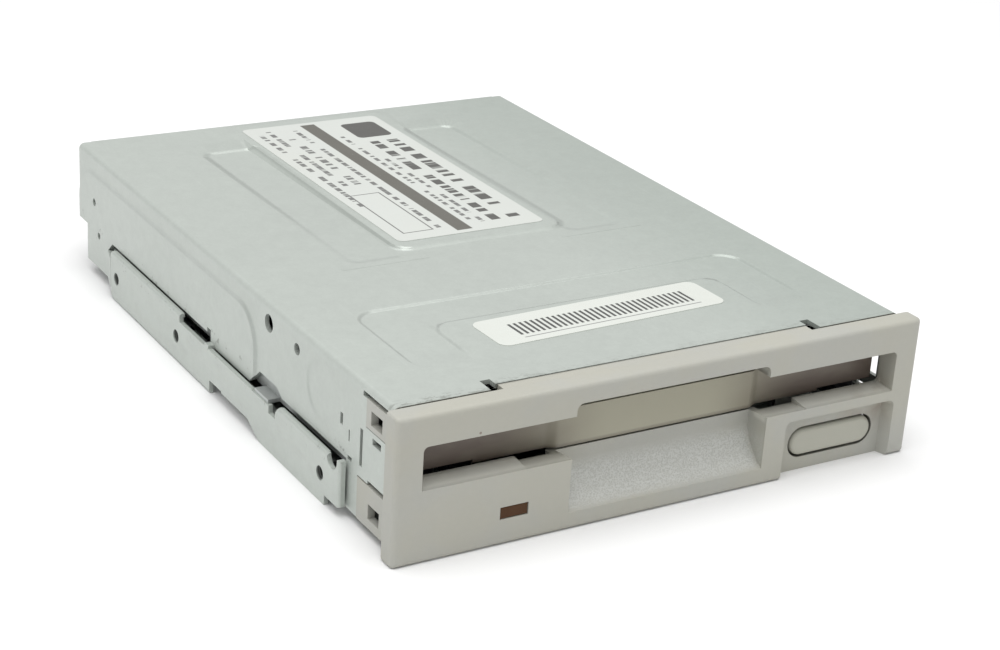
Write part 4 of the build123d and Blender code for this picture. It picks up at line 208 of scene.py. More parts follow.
class Wires:
    """Short ways to add nodes to one tree."""

    def __init__(self, tree):
        self.tree = tree

    def add(self, kind, **settings):
        node = self.tree.nodes.new(kind)
        for key, value in settings.items():
            setattr(node, key, value)
        return node

    def put(self, value, socket):
        """Sets a socket, or links it if the value comes from another node."""
        if isinstance(value, bpy.types.NodeSocket):
            self.tree.links.new(value, socket)
        else:
            socket.default_value = value

    def make(self, kind, **inputs):
        """A node with its named inputs set or linked; gives its first output."""
        node = self.add(kind)
        for label, value in inputs.items():
            self.put(value, node.inputs[label.replace("_", " ")])
        return node.outputs[0]

    def math(self, operation, a, b=0.0, clamp=False):
        node = self.add("ShaderNodeMath", operation=operation, use_clamp=clamp)
        self.put(a, node.inputs[0])
        self.put(b, node.inputs[1])
        return node.outputs[0]

    def mix(self, share, a, b, blend="MIX"):
        node = self.add("ShaderNodeMix", data_type="RGBA", blend_type=blend)
        self.put(share, node.inputs[0])
        self.put(a, node.inputs[6])
        self.put(b, node.inputs[7])
        return node.outputs[2]

    def place(self, stretch=(1.0, 1.0, 1.0), turn=(0.0, 0.0, 0.0)):
        """Object coordinates, stretched and turned."""
        coords = self.add("ShaderNodeTexCoord")
        return self.make("ShaderNodeMapping", Vector=coords.outputs["Object"], Scale=stretch, Rotation=turn)

    def axes(self, centre=(0.0, 0.0, 0.0), turn=0.0):
        """Object coordinates as three numbers, from a centre and turned about Z."""
        coords = self.add("ShaderNodeTexCoord")
        mapping = self.add("ShaderNodeMapping", vector_type="TEXTURE")
        mapping.inputs["Location"].default_value = centre
        mapping.inputs["Rotation"].default_value = (0.0, 0.0, turn)
        split = self.add("ShaderNodeSeparateXYZ")
        self.put(coords.outputs["Object"], mapping.inputs["Vector"])
        self.put(mapping.outputs["Vector"], split.inputs["Vector"])
        return split.outputs["X"], split.outputs["Y"], split.outputs["Z"]

    def noise(self, vector, scale, detail=2.0, rough=0.5):
        return self.make("ShaderNodeTexNoise", Vector=vector, Scale=scale, Detail=detail, Roughness=rough)

    def cells(self, vector, scale, feature="F1"):
        node = self.add("ShaderNodeTexVoronoi", feature=feature)
        self.put(vector, node.inputs["Vector"])
        self.put(scale, node.inputs["Scale"])
        return node.outputs["Distance"]

    def ramp(self, value, low, high, out_low=0.0, out_high=1.0):
        """A value carried smoothly from one stretch to another, and held at its ends."""
        node = self.add("ShaderNodeMapRange", interpolation_type="SMOOTHSTEP")
        for socket, number in zip(node.inputs[:5], (value, low, high, out_low, out_high)):
            self.put(number, socket)
        return node.outputs[0]

    def group(self, tree, **values):
        """The outputs of a node group with its named inputs set or linked."""
        node = self.add("ShaderNodeGroup", node_tree=tree)
        for label, value in values.items():
            self.put(value, node.inputs[label.replace("_", " ").capitalize()])
        return node.outputs

    def uneven(self, colour, amount, scale):
        return self.group(TONE, colour=colour, amount=amount, scale=scale)["Colour"]

    def specks(self, scale, size, share):
        return self.group(SPECKS, scale=scale, size=size, share=share)["Mask"]

    def dust(self, amount, scale):
        return self.group(DUST, amount=amount, scale=scale)["Mask"]

    def within(self, value, low, high, soft):
        """One inside a stretch of an axis, in millimetres, with soft ends."""
        return self.group(BAND, value=value, low=low * MM, high=high * MM, soft=soft * MM)["Mask"]

    def beyond(self, value, reach, soft):
        """One further out than a reach on both sides of an axis, in millimetres."""
        return self.math("SUBTRACT", 1.0, self.within(value, -reach, reach, soft))

    def inside(self, axes, stretches):
        """One inside a block: two ends and a softness on each axis."""
        return self.every(*(self.within(axis, *ends) for axis, ends in zip(axes, stretches)))

    def rounded(self, x, y, centre, half, corner, soft):
        """One inside a rounded rectangle, in millimetres, fading over a soft edge."""
        squares = []
        for value, middle, size in zip((x, y), centre, half):
            off = self.math("ABSOLUTE", self.math("SUBTRACT", value, middle * MM))
            past = self.math("MAXIMUM", self.math("SUBTRACT", off, (size - corner) * MM), 0.0)
            squares.append(self.math("MULTIPLY", past, past))
        far = self.math("SQRT", self.math("ADD", *squares))
        return self.ramp(far, (corner - soft) * MM, (corner + soft) * MM, 1.0, 0.0)

    def every(self, *masks):
        """Where all the masks meet."""
        joint = masks[0]
        for mask in masks[1:]:
            joint = self.math("MULTIPLY", joint, mask)
        return joint

    def either(self, *masks):
        """Where any of the masks is."""
        joint = masks[0]
        for mask in masks[1:]:
            joint = self.math("MAXIMUM", joint, mask)
        return joint

    def tint(self, tone, colour, share, *masks):
        """The tone with a share of another colour where all the masks meet."""
        return self.mix(self.math("MULTIPLY", self.every(*masks), share), tone, colour)


# shader node groups: one for each effect that several finishes share


def new_group(name, inputs, outputs, kind="ShaderNodeTree"):
    """An empty node group with named sockets."""
    group = bpy.data.node_groups.new(name, kind)
    for label, sort, value in inputs:
        socket = group.interface.new_socket(label, in_out="INPUT", socket_type=sort)
        if value is not None:
            socket.default_value = value
    for label, sort in outputs:
        group.interface.new_socket(label, in_out="OUTPUT", socket_type=sort)
    enter = group.nodes.new("NodeGroupInput")
    leave = group.nodes.new("NodeGroupOutput")
    return group, enter.outputs, leave.inputs


def soft_band():
    """A mask over a stretch of one axis."""
    tree, enter, leave = new_group(
        "soft band",
        [("Value", FLOAT, 0.0), ("Low", FLOAT, 0.0), ("High", FLOAT, 1.0), ("Soft", FLOAT, 0.1)],
        [("Mask", FLOAT)])
    w = Wires(tree)
    width = w.math("MULTIPLY", enter["Soft"], 2.0)
    rise = w.math("DIVIDE", w.math("SUBTRACT", enter["Value"], enter["Low"]), width)
    fall = w.math("DIVIDE", w.math("SUBTRACT", enter["High"], enter["Value"]), width)
    w.put(w.every(w.math("ADD", rise, 0.5, True), w.math("ADD", fall, 0.5, True)), leave["Mask"])
    return tree


def moulded_grain():
    """Spark-eroded grain of a moulding: a height and a slow change of gloss."""
    tree, enter, leave = new_group(
        "moulded grain",
        [("Scale", FLOAT, 3000.0), ("Patch scale", FLOAT, 60.0)],
        [("Height", FLOAT), ("Patch", FLOAT)])
    w = Wires(tree)
    spot = w.place()
    fine = w.noise(spot, enter["Scale"], 3.0, 0.6)
    pits = w.cells(spot, enter["Scale"], "SMOOTH_F1")
    w.put(w.math("ADD", w.math("MULTIPLY", fine, 0.7), w.math("MULTIPLY", pits, 0.3)), leave["Height"])
    w.put(w.noise(spot, enter["Patch scale"], 3.0, 0.55), leave["Patch"])
    return tree


def uneven_tone():
    """A colour that drifts a little lighter and darker over the surface."""
    tree, enter, leave = new_group(
        "uneven tone",
        [("Colour", COLOUR, (0.5, 0.5, 0.5, 1.0)), ("Amount", FLOAT, 0.06), ("Scale", FLOAT, 40.0)],
        [("Colour", COLOUR)])
    w = Wires(tree)
    drift = w.noise(w.place(), enter["Scale"], 4.0, 0.6)
    swing = w.math("MULTIPLY", w.math("SUBTRACT", drift, 0.5), w.math("MULTIPLY", enter["Amount"], 2.0))
    level = w.math("ADD", swing, 1.0)
    w.put(w.make("ShaderNodeHueSaturation", Value=level, Color=enter["Colour"]), leave["Colour"])
    return tree


def fine_scratches():
    """Sparse hair scratches in two directions, as a mask."""
    tree, enter, leave = new_group(
        "fine scratches", [("Scale", FLOAT, 60.0), ("Amount", FLOAT, 0.5)], [("Mask", FLOAT)])
    w = Wires(tree)
    masks = []
    for stretch, turn in (((1.0, 26.0, 26.0), 0.35), ((24.0, 1.0, 24.0), -0.5)):
        line = w.noise(w.place(stretch, (0.0, 0.0, turn)), enter["Scale"])
        masks.append(w.ramp(line, 0.69, 0.74))
    w.put(w.math("MULTIPLY", w.either(*masks), enter["Amount"]), leave["Mask"])
    return tree


def stray_specks():
    """Small specks, few and scattered, as a mask."""
    tree, enter, leave = new_group(
        "stray specks",
        [("Scale", FLOAT, 160.0), ("Size", FLOAT, 0.1), ("Share", FLOAT, 0.2)],
        [("Mask", FLOAT)])
    w = Wires(tree)
    node = w.add("ShaderNodeTexVoronoi")
    w.put(w.place(), node.inputs["Vector"])
    w.put(enter["Scale"], node.inputs["Scale"])
    dot = w.math("LESS_THAN", node.outputs["Distance"], enter["Size"])
    chance = w.make("ShaderNodeSeparateColor", Color=node.outputs["Color"])
    w.put(w.every(dot, w.math("LESS_THAN", chance, enter["Share"])), leave["Mask"])
    return tree


def settled_dust():
    """Dust on faces that look up, thicker in patches, as a mask."""
    tree, enter, leave = new_group(
        "settled dust", [("Amount", FLOAT, 0.3), ("Scale", FLOAT, 70.0)], [("Mask", FLOAT)])
    w = Wires(tree)
    coords = w.add("ShaderNodeTexCoord")
    split = w.add("ShaderNodeSeparateXYZ")
    w.put(coords.outputs["Normal"], split.inputs["Vector"])
    up = w.ramp(split.outputs["Z"], 0.4, 0.95)
    patch = w.ramp(w.noise(w.place(), enter["Scale"], 5.0, 0.65), 0.45, 0.75)
    w.put(w.every(up, patch, enter["Amount"]), leave["Mask"])
    return tree


def seam_soil_and_shade():
    """Dark soil that has crept out of the seam between bezel and roof, with a thin line of painted shade in the seam's
    gap, as a mask.
    """
    tree, enter, leave = new_group(
        "seam soil and shade", [("Reach", FLOAT, 1.2 * MM), ("Amount", FLOAT, 0.7)], [("Mask", FLOAT)])
    w = Wires(tree)
    x, y, z = w.axes()
    roof = w.within(z, 24.3, 26.0, 0.1)
    # the seam lies deeper in the middle than at the two ends
    middle = w.within(x, -30.4, 30.4, 0.02)
    seam = w.math("ADD", deep(4.4) * MM, w.math("MULTIPLY", middle, 1.6 * MM))
    away = w.math("DIVIDE", w.math("ABSOLUTE", w.math("SUBTRACT", y, seam)), enter["Reach"])
    near = w.ramp(away, 0.0, 1.0, 1.0, 0.0)
    left = w.ramp(x, -46.0 * MM, -10.0 * MM, 1.0, 0.35)
    blots = w.noise(w.place((1.0, 2.2, 1.0)), 620.0, 4.0, 0.7)
    spots = w.ramp(w.math("ADD", blots, w.math("MULTIPLY", near, 0.12)), 0.555, 0.72, 0.0, 0.6)
    # painted shade: a thin dark line right at the seam's gap, broken in places; the spots beside it are soil
    line = w.ramp(w.math("MULTIPLY", away, enter["Reach"]), 0.08 * MM, 0.30 * MM, 1.0, 0.0)
    broken_shade_line = w.math("MULTIPLY", line, w.ramp(blots, 0.25, 0.5, 0.4, 1.0))
    soil_and_shade = w.either(w.every(near, spots, left), broken_shade_line)
    w.put(w.every(roof, soil_and_shade, enter["Amount"]), leave["Mask"])
    return tree


def pressed_roof():
    """Height of the roof's pressings, to sharpen the shallow slopes of the sheet."""
    tree, enter, leave = new_group("pressed roof", [("Depth", FLOAT, 0.4 * MM)], [("Height", FLOAT)])
    w = Wires(tree)
    x, y, z = w.axes()
    panel = w.rounded(x, y, (0.0, deep(100.5)), (18.0, 38.2), 3.6, 1.0)
    panel = w.math("MULTIPLY", panel, w.ramp(y, deep(63.0) * MM, deep(138.0) * MM, 1.9, 0.4))
    sides = w.math("ABSOLUTE", x)
    strips = w.rounded(sides, y, (22.6, deep(93.0)), (5.6, 33.0), 2.2, 0.9)
    strips = w.math("MULTIPLY", strips, w.ramp(y, deep(60.0) * MM, deep(126.0) * MM, 0.6, 2.2))
    outer = w.rounded(x, y, (0.0, deep(27.4)), (38.6, 12.2), 4.0, 0.45)
    inner = w.rounded(x, y, (0.0, deep(21.0)), (28.6, 10.0), 4.0, 0.45)
    front = w.ramp(y, deep(14.5) * MM, deep(22.0) * MM)
    groove = w.every(outer, w.math("SUBTRACT", 1.0, inner), front)
    down = w.math("ADD", strips, w.math("MULTIPLY", groove, 1.2))
    level = w.every(w.math("SUBTRACT", panel, down), w.within(z, *ROOF, 0.1), enter["Depth"])
    w.put(level, leave["Height"])
    return tree


def hole_shade():
    """Painted shade inside the tapped holes of the rails, as a mask."""
    tree, enter, leave = new_group("hole shade", [("Amount", FLOAT, 0.8)], [("Mask", FLOAT)])
    w = Wires(tree)
    x, y, z = w.axes()
    rise = w.math("POWER", w.math("SUBTRACT", z, RAIL_HOLE_Z * MM), 2.0)
    rings = []
    for depth in RAIL_HOLES:
        along = w.math("POWER", w.math("SUBTRACT", y, deep(depth) * MM), 2.0)
        away = w.math("SQRT", w.math("ADD", rise, along))
        rings.append(w.ramp(away, 1.2 * MM, 1.6 * MM, 1.0, 0.0))
    behind_face = w.within(w.math("ABSOLUTE", x), 44.0, 50.55, 0.15)
    w.put(w.every(behind_face, w.either(*rings), enter["Amount"]), leave["Mask"])
    return tree


BAND = soft_band()
HOLES = hole_shade()
PRESSED = pressed_roof()
GRAIN = moulded_grain()
TONE = uneven_tone()
SCRATCH = fine_scratches()
SPECKS = stray_specks()
DUST = settled_dust()
SEAM_SOIL_AND_SHADE = seam_soil_and_shade()


# finishes


def rgb(red, green, blue):
    return (red, green, blue, 1.0)


# soil, and painted shade in the seam between bezel and roof
SOIL_AND_SHADE_TONE = rgb(0.075, 0.070, 0.055)
# painted shade inside the rails' holes
HOLE_SHADE_TONE = rgb(0.03, 0.03, 0.028)
PALE_DUST = rgb(0.62, 0.61, 0.56)
STEEL_DUST = rgb(0.50, 0.50, 0.46)
PAPER_DUST = rgb(0.52, 0.52, 0.47)
# painted light on the slot's lip
LIP_PAINTED_LIGHT = rgb(0.66, 0.66, 0.60)
BROWN_FILM = rgb(0.25, 0.19, 0.15)
# painted shade in the gap round the button
BUTTON_GAP_SHADE = rgb(0.030, 0.026, 0.020)
SLOT_SHADE = rgb(0.12, 0.105, 0.085)
BEZEL_SPECK = rgb(0.13, 0.075, 0.055)
# painted sparkle and painted light on the scoop's floor
SCOOP_PAINTED_SPARKLE = rgb(0.545, 0.553, 0.525)
# painted shade on both ends of the flap
DOOR_PAINTED_SHADE = rgb(0.142, 0.113, 0.093)
# painted shadow along the flap's lower edge
DOOR_EDGE_SHADOW = rgb(0.10, 0.085, 0.065)
DOOR_SPECK = rgb(0.12, 0.07, 0.05)
INK_DARK = rgb(0.075, 0.073, 0.068)
INK_GREY = rgb(0.15, 0.15, 0.145)
INK_BAND = rgb(0.105, 0.10, 0.085)
INK_BARS = rgb(0.05, 0.05, 0.05)
INK_RULE = rgb(0.2, 0.2, 0.2)
PLATED = rgb(0.42, 0.40, 0.33)


def finish(name, **constants):
    """A new material, its wires and its shader's inputs; constants go straight on those inputs."""
    made = bpy.data.materials.new(name)
    made.use_nodes = True
    shader = made.node_tree.nodes["Principled BSDF"].inputs
    for label, value in constants.items():
        shader[label.replace("_", " ")].default_value = value
    return made, Wires(made.node_tree), shader


def surface(w, shader, tone, rough, height, depth):
    """Links a finish: its colour, its roughness, and a relief whose depth is in metres."""
    relief = w.make("ShaderNodeBump", Strength=1.0, Distance=depth, Height=height)
    w.put(tone, shader["Base Color"])
    w.put(rough, shader["Roughness"])
    w.put(relief, shader["Normal"])


def patchy(w, texture, low, high):
    """A roughness that drifts between two values with the patches of a grain."""
    return w.ramp(texture["Patch"], 0.3, 0.7, low, high)


def moulding(name, colour, rough=0.5, depth=0.02 * MM):
    """A grained plastic moulding, slightly uneven in tone, with dust."""
    made, w, shader = finish(name)
    tone = w.uneven(colour, amount=0.03, scale=35.0)
    tone = w.mix(w.dust(amount=0.12, scale=60.0), tone, PALE_DUST)
    texture = w.group(GRAIN, scale=3200.0, patch_scale=45.0)
    surface(w, shader, tone, patchy(w, texture, rough - 0.05, rough + 0.06), texture["Height"], depth)
    return made


def bezel_plastic(name, colour, scoop_tone):
    """Bezel moulding: fine grain, coarse in the scoop, specks, soil where fingers and dust get to, and painted light
    and shade: on the scoop and the slot's lip, round the button, under the slot's upper edge and in the seam.
    """
    made, w, shader = finish(name)
    x, y, z = w.axes()
    axes = (x, z, y)
    tone = w.uneven(colour, amount=0.035, scale=30.0)
    tone = w.uneven(tone, amount=0.03, scale=900.0)
    cast = w.ramp(w.noise(w.place(), 55.0, 3.0, 0.6), 0.40, 0.62)
    tone = w.mix(w.math("MULTIPLY", cast, 0.7), tone, rgb(0.97, 0.99, 1.05), "MULTIPLY")
    texture = w.group(GRAIN, scale=3000.0, patch_scale=45.0)
    # the scoop's floor has a coarse grain, whose pale crumbs are a painted sparkle that also lightens the floor as
    # painted light
    scoop = w.inside(axes, SCOOP)
    crumbs = w.cells(w.place(), 3400.0)
    tone = w.mix(scoop, tone, w.mix(w.ramp(crumbs, 0.1, 0.8), scoop_tone, SCOOP_PAINTED_SPARKLE))
    # painted light: the lip of the slot is painted paler, as if light fell on its sill
    tone = w.tint(tone, LIP_PAINTED_LIGHT, 0.55, w.inside(axes, SLOT_LIP))
    # brown film in a corner of the button's recess, up to the slot
    film = w.ramp(w.noise(w.place(), 160.0, 3.0, 0.6), 0.40, 0.72)
    tone = w.tint(tone, BROWN_FILM, 0.6, w.inside(axes, RECESS), film)
    # painted shade in the gap round the button
    ring = w.rounded(x, z, BUTTON, BUTTON_HALF, BUTTON_HALF[1], 0.10)
    tone = w.tint(tone, BUTTON_GAP_SHADE, 0.85, ring, w.within(y, deep(1.5), deep(6.0), 0.1))
    # shade under the slot's upper edge
    tone = w.tint(tone, SLOT_SHADE, 0.6, w.inside(axes, SLOT_TOP))
    dots = w.specks(scale=105.0, size=0.045, share=0.05)
    fly = w.specks(scale=330.0, size=0.085, share=0.025)
    tone = w.tint(tone, BEZEL_SPECK, 0.6, w.either(dots, fly))
    # soil at the seam with the roof, and painted shade in its gap
    seam = w.group(SEAM_SOIL_AND_SHADE, reach=1.1 * MM, amount=0.55)["Mask"]
    tone = w.mix(seam, tone, SOIL_AND_SHADE_TONE)
    height = w.math("ADD", texture["Height"], w.every(crumbs, scoop, 3.0))
    surface(w, shader, tone, patchy(w, texture, 0.46, 0.58), height, 0.02 * MM)
    return made


def door_plastic(name, colour):
    """Flap behind the slot, with painted shade darkening both ends, where the light doesn't reach, and a painted
    shadow along its lower edge.
    """
    made, w, shader = finish(name)
    x, _, z = w.axes()
    tone = w.uneven(colour, amount=0.05, scale=60.0)
    # painted shade: the flap darker towards both ends and lower down, drifting in patches
    ends = w.ramp(w.math("ABSOLUTE", x), 8.0 * MM, 33.0 * MM)
    low = w.ramp(z, 20.2 * MM, 13.8 * MM, 0.86, 1.0)
    shade_drift = w.ramp(w.noise(w.place((0.6, 1.0, 1.6)), 110.0, 3.0, 0.6), 0.3, 0.7, 0.85, 1.1)
    painted_shade = w.math("MINIMUM", w.every(ends, low, shade_drift), 1.0)
    tone = w.mix(painted_shade, tone, DOOR_PAINTED_SHADE)
    # painted shadow along the flap's lower edge, above the slot's lip
    tone = w.tint(tone, DOOR_EDGE_SHADOW, 0.5, w.within(z, 11.5, 12.9, 0.25))
    tone = w.tint(tone, DOOR_SPECK, 0.5, w.specks(scale=260.0, size=0.09, share=0.03))
    texture = w.group(GRAIN, scale=5200.0, patch_scale=45.0)
    surface(w, shader, tone, patchy(w, texture, 0.38, 0.50), texture["Height"], 0.01 * MM)
    return made


def sheet_steel(name, colour, rough=0.42, drift=0.03):
    """Zinc coated sheet: a fine mottle, hair scratches, dull patches, and painted shade behind the rails' holes."""
    made, w, shader = finish(name, Metallic=0.75)
    tone = w.uneven(w.uneven(colour, drift, scale=55.0), drift, scale=420.0)
    lines = w.group(SCRATCH, scale=42.0, amount=0.3)["Mask"]
    tone = w.tint(tone, rgb(0.82, 0.84, 0.82), 0.35, lines)
    film = w.dust(amount=0.1, scale=48.0)
    tone = w.mix(film, tone, STEEL_DUST)
    # painted shade inside the rails' tapped holes
    tone = w.mix(w.group(HOLES, amount=0.9)["Mask"], tone, HOLE_SHADE_TONE)
    texture = w.group(GRAIN, scale=1500.0, patch_scale=90.0)
    dull = w.math("ADD", patchy(w, texture, rough - 0.06, rough + 0.08), w.math("MULTIPLY", film, 0.3))
    surface(w, shader, tone, dull, texture["Height"], 0.006 * MM)
    return made


def frame_steel(name, colour):
    """Outer zinc sheet: even and dull, with soil and painted shade at the seam, painted shade on the roof's right side
    and in the rails' holes, rubbed and grimy walls and a few dark specks.
    """
    made, w, shader = finish(name, Metallic=0.26)
    x, _, z = w.axes()
    tone = colour
    for amount, scale in ((0.03, 24.0), (0.07, 420.0), (0.06, 1500.0)):
        tone = w.uneven(tone, amount, scale)
    # painted shade: the roof darker towards its right side, as the light falls off
    far_side_painted_shade = w.math("MULTIPLY", w.ramp(x, 4.0 * MM, 46.0 * MM), w.within(z, *ROOF, 0.2))
    tone = w.mix(far_side_painted_shade, tone, rgb(0.86, 0.88, 0.87), "MULTIPLY")
    lines = w.group(SCRATCH, scale=30.0, amount=0.13)["Mask"]
    tone = w.tint(tone, rgb(0.74, 0.77, 0.74), 0.3, lines)
    rubbed = w.ramp(w.noise(w.place((1.0, 0.35, 1.0)), 300.0, 4.0, 0.65), 0.52, 0.74)
    tone = w.tint(tone, rgb(0.36, 0.37, 0.35), 0.30, w.beyond(x, 50.0, 0.1), rubbed)
    grime = w.ramp(w.noise(w.place(), 520.0, 4.0, 0.7), 0.60, 0.70)
    tone = w.tint(tone, SOIL_AND_SHADE_TONE, 0.5, w.beyond(x, 48.0, 0.3), w.within(z, 7.6, 11.8, 0.6), grime)
    tone = w.tint(tone, SOIL_AND_SHADE_TONE, 0.5, w.specks(scale=170.0, size=0.06, share=0.03))
    # soil at the seam with the bezel, and painted shade in its gap
    seam = w.group(SEAM_SOIL_AND_SHADE, reach=3.4 * MM, amount=0.9)["Mask"]
    tone = w.mix(seam, tone, SOIL_AND_SHADE_TONE)
    # painted shade inside the rails' tapped holes
    tone = w.mix(w.group(HOLES, amount=0.85)["Mask"], tone, HOLE_SHADE_TONE)
    texture = w.group(GRAIN, scale=1500.0, patch_scale=34.0)
    rough = w.math("ADD", patchy(w, texture, 0.34, 0.42), w.math("MULTIPLY", seam, 0.4), True)
    # both heights are in metres here, so the relief's own depth is one
    grain = w.math("MULTIPLY", texture["Height"], 0.006 * MM)
    height = w.math("ADD", grain, w.group(PRESSED, depth=0.4 * MM)["Height"])
    surface(w, shader, tone, rough, height, 1.0)
    return made


def turned_steel(name, colour, rough=0.22):
    """Bright metal with a fine unevenness of its gloss."""
    made, w, shader = finish(name, Metallic=1.0)
    tone = w.uneven(colour, amount=0.05, scale=120.0)
    marks = w.noise(w.place(), 900.0)
    surface(w, shader, tone, w.ramp(marks, 0.3, 0.7, rough - 0.06, rough + 0.08), marks, 0.003 * MM)
    return made


def dashes(w, run, across, rows, fine=640.0, coarse=150.0):
    """Rows of uneven dashes, as a mask; each row is a place across, a width and two ends."""
    masks = []
    for number, (middle, width, start, stop) in enumerate(rows):
        inked = []
        for shift, scale in ((0.37 * number, fine), (1.1 + 0.53 * number, coarse)):
            strokes = w.add("ShaderNodeTexNoise", noise_dimensions="1D")
            w.put(w.math("ADD", run, shift), strokes.inputs["W"])
            strokes.inputs["Scale"].default_value = scale
            inked.append(strokes.outputs["Fac"])
        body = w.every(w.within(across, middle - width / 2, middle + width / 2, 0.06),
                       w.within(run, start, stop, 0.06))
        ink = w.every(w.ramp(inked[0], 0.44, 0.50), w.ramp(inked[1], 0.38, 0.42))
        masks.append(w.math("MULTIPLY", body, ink))
    return w.either(*masks)


def rim(w, x, y, half_x, half_y, line):
    """A thin printed rectangle, as a mask."""
    outer, inner = (
        w.every(w.within(x, inset - half_x, half_x - inset, 0.04),
                w.within(y, inset - half_y, half_y - inset, 0.04))
        for inset in (0.0, line))
    return w.math("SUBTRACT", outer, inner, True)


def paper(name, colour, centre, turn, draw):
    """Coated label paper with a plain printed pattern, worn a little at the ink."""
    made, w, shader = finish(name, Specular_IOR_Level=0.35)
    x, y, _ = w.axes(centre, turn)
    tone = w.uneven(colour, amount=0.02, scale=70.0)
    tone = w.mix(w.dust(amount=0.22, scale=38.0), tone, PAPER_DUST)
    worn = w.ramp(w.noise(w.place(), 1400.0, 3.0, 0.6), 0.15, 0.35, 0.6, 0.95)
    for mask, ink in draw(w, x, y):
        tone = w.tint(tone, ink, worn, mask)
    texture = w.group(GRAIN, scale=900.0, patch_scale=80.0)
    surface(w, shader, tone, patchy(w, texture, 0.46, 0.60), texture["Height"], 0.008 * MM)
    return made


def large_print(w, x, y):
    """Large label: a dark band along it, rows of dashes, a plain block and an empty box."""
    yield w.every(w.within(x, -2.6, 0.6, 0.08), w.within(y, -33.6, 33.6, 0.08)), INK_BAND
    fine_rows = ((-13.0, 1.1, -16.0, 32.0), (-10.6, 1.1, -4.0, 32.0), (-8.0, 1.5, -4.0, 26.0),
                 (-5.0, 1.0, -31.0, 31.0), (2.4, 0.9, -31.0, 24.0), (4.3, 0.9, -31.0, 8.0))
    yield dashes(w, y, x, fine_rows), INK_GREY
    bold_rows = ((7.2, 2.0, -31.0, 19.0), (11.3, 2.5, -31.0, 19.0))
    yield dashes(w, y, x, bold_rows, 420.0, 95.0), INK_DARK
    yield w.rounded(x, y, (9.3, 26.6), (3.9, 4.8), 1.2, 0.1), INK_DARK
    yield rim(w, w.math("ADD", x, 9.6 * MM), w.math("ADD", y, 20.5 * MM), 3.2, 11.0, 0.3), INK_GREY


def narrow_print(w, x, y):
    """Narrow label: one row of even bars with a rule under it."""
    ends, step = (-17.6, 18.7), 1.1
    beat = w.math("FRACT", w.math("MULTIPLY", x, 1.0 / (step * MM)))
    bars = w.math("LESS_THAN", beat, 0.5)
    yield w.every(bars, w.within(x, *ends, 0.02), w.within(y, -2.4, 2.2, 0.05)), INK_BARS
    yield w.every(w.within(x, *ends, 0.05), w.within(y, -3.6, -3.35, 0.05)), INK_RULE


def tinted_lens(name, colour, shine=0.3):
    """Smoky tinted plastic with a polished face."""
    made, w, shader = finish(name, Coat_Roughness=0.08, Specular_IOR_Level=shine)
    tone = w.uneven(colour, amount=0.25, scale=300.0)
    texture = w.group(GRAIN, scale=1200.0, patch_scale=300.0)
    surface(w, shader, tone, patchy(w, texture, 0.16, 0.26), texture["Height"], 0.004 * MM)
    return made


def ribbon_film(name, colour, copper):
    """Amber film with flat conductors along it."""
    made, w, shader = finish(name, Coat_Weight=0.3, Coat_Roughness=0.15)
    x, _, _ = w.axes()
    step = 0.8
    beat = w.math("FRACT", w.math("MULTIPLY", x, 1.0 / (step * MM)))
    track = w.ramp(w.math("ABSOLUTE", w.math("SUBTRACT", beat, 0.5)), 0.22, 0.28)
    tone = w.uneven(w.mix(track, copper, colour), amount=0.08, scale=200.0)
    texture = w.group(GRAIN, scale=1200.0, patch_scale=200.0)
    surface(w, shader, tone, patchy(w, texture, 0.22, 0.34), track, 0.01 * MM)
    return made


def circuit_board(name, mask, trace):
    """Solder mask over copper traces that run in square steps, with small plated holes."""
    made, w, shader = finish(name, Coat_Weight=0.3, Coat_Roughness=0.2)
    spot = w.place()
    brick = w.make("ShaderNodeTexBrick", Vector=spot, Scale=260.0, Mortar_Size=0.05, Color1=mask,
                   Color2=mask, Mortar=trace)
    area = w.ramp(w.noise(spot, 90.0, 1.0), 0.48, 0.52)
    tone = w.mix(area, mask, brick)
    tone = w.tint(tone, PLATED, 0.9, w.specks(scale=230.0, size=0.14, share=0.22))
    tone = w.uneven(tone, amount=0.08, scale=90.0)
    texture = w.group(GRAIN, scale=800.0, patch_scale=120.0)
    height = w.math("ADD", w.math("MULTIPLY", area, 0.4), texture["Height"])
    surface(w, shader, tone, patchy(w, texture, 0.30, 0.45), height, 0.01 * MM)
    return made


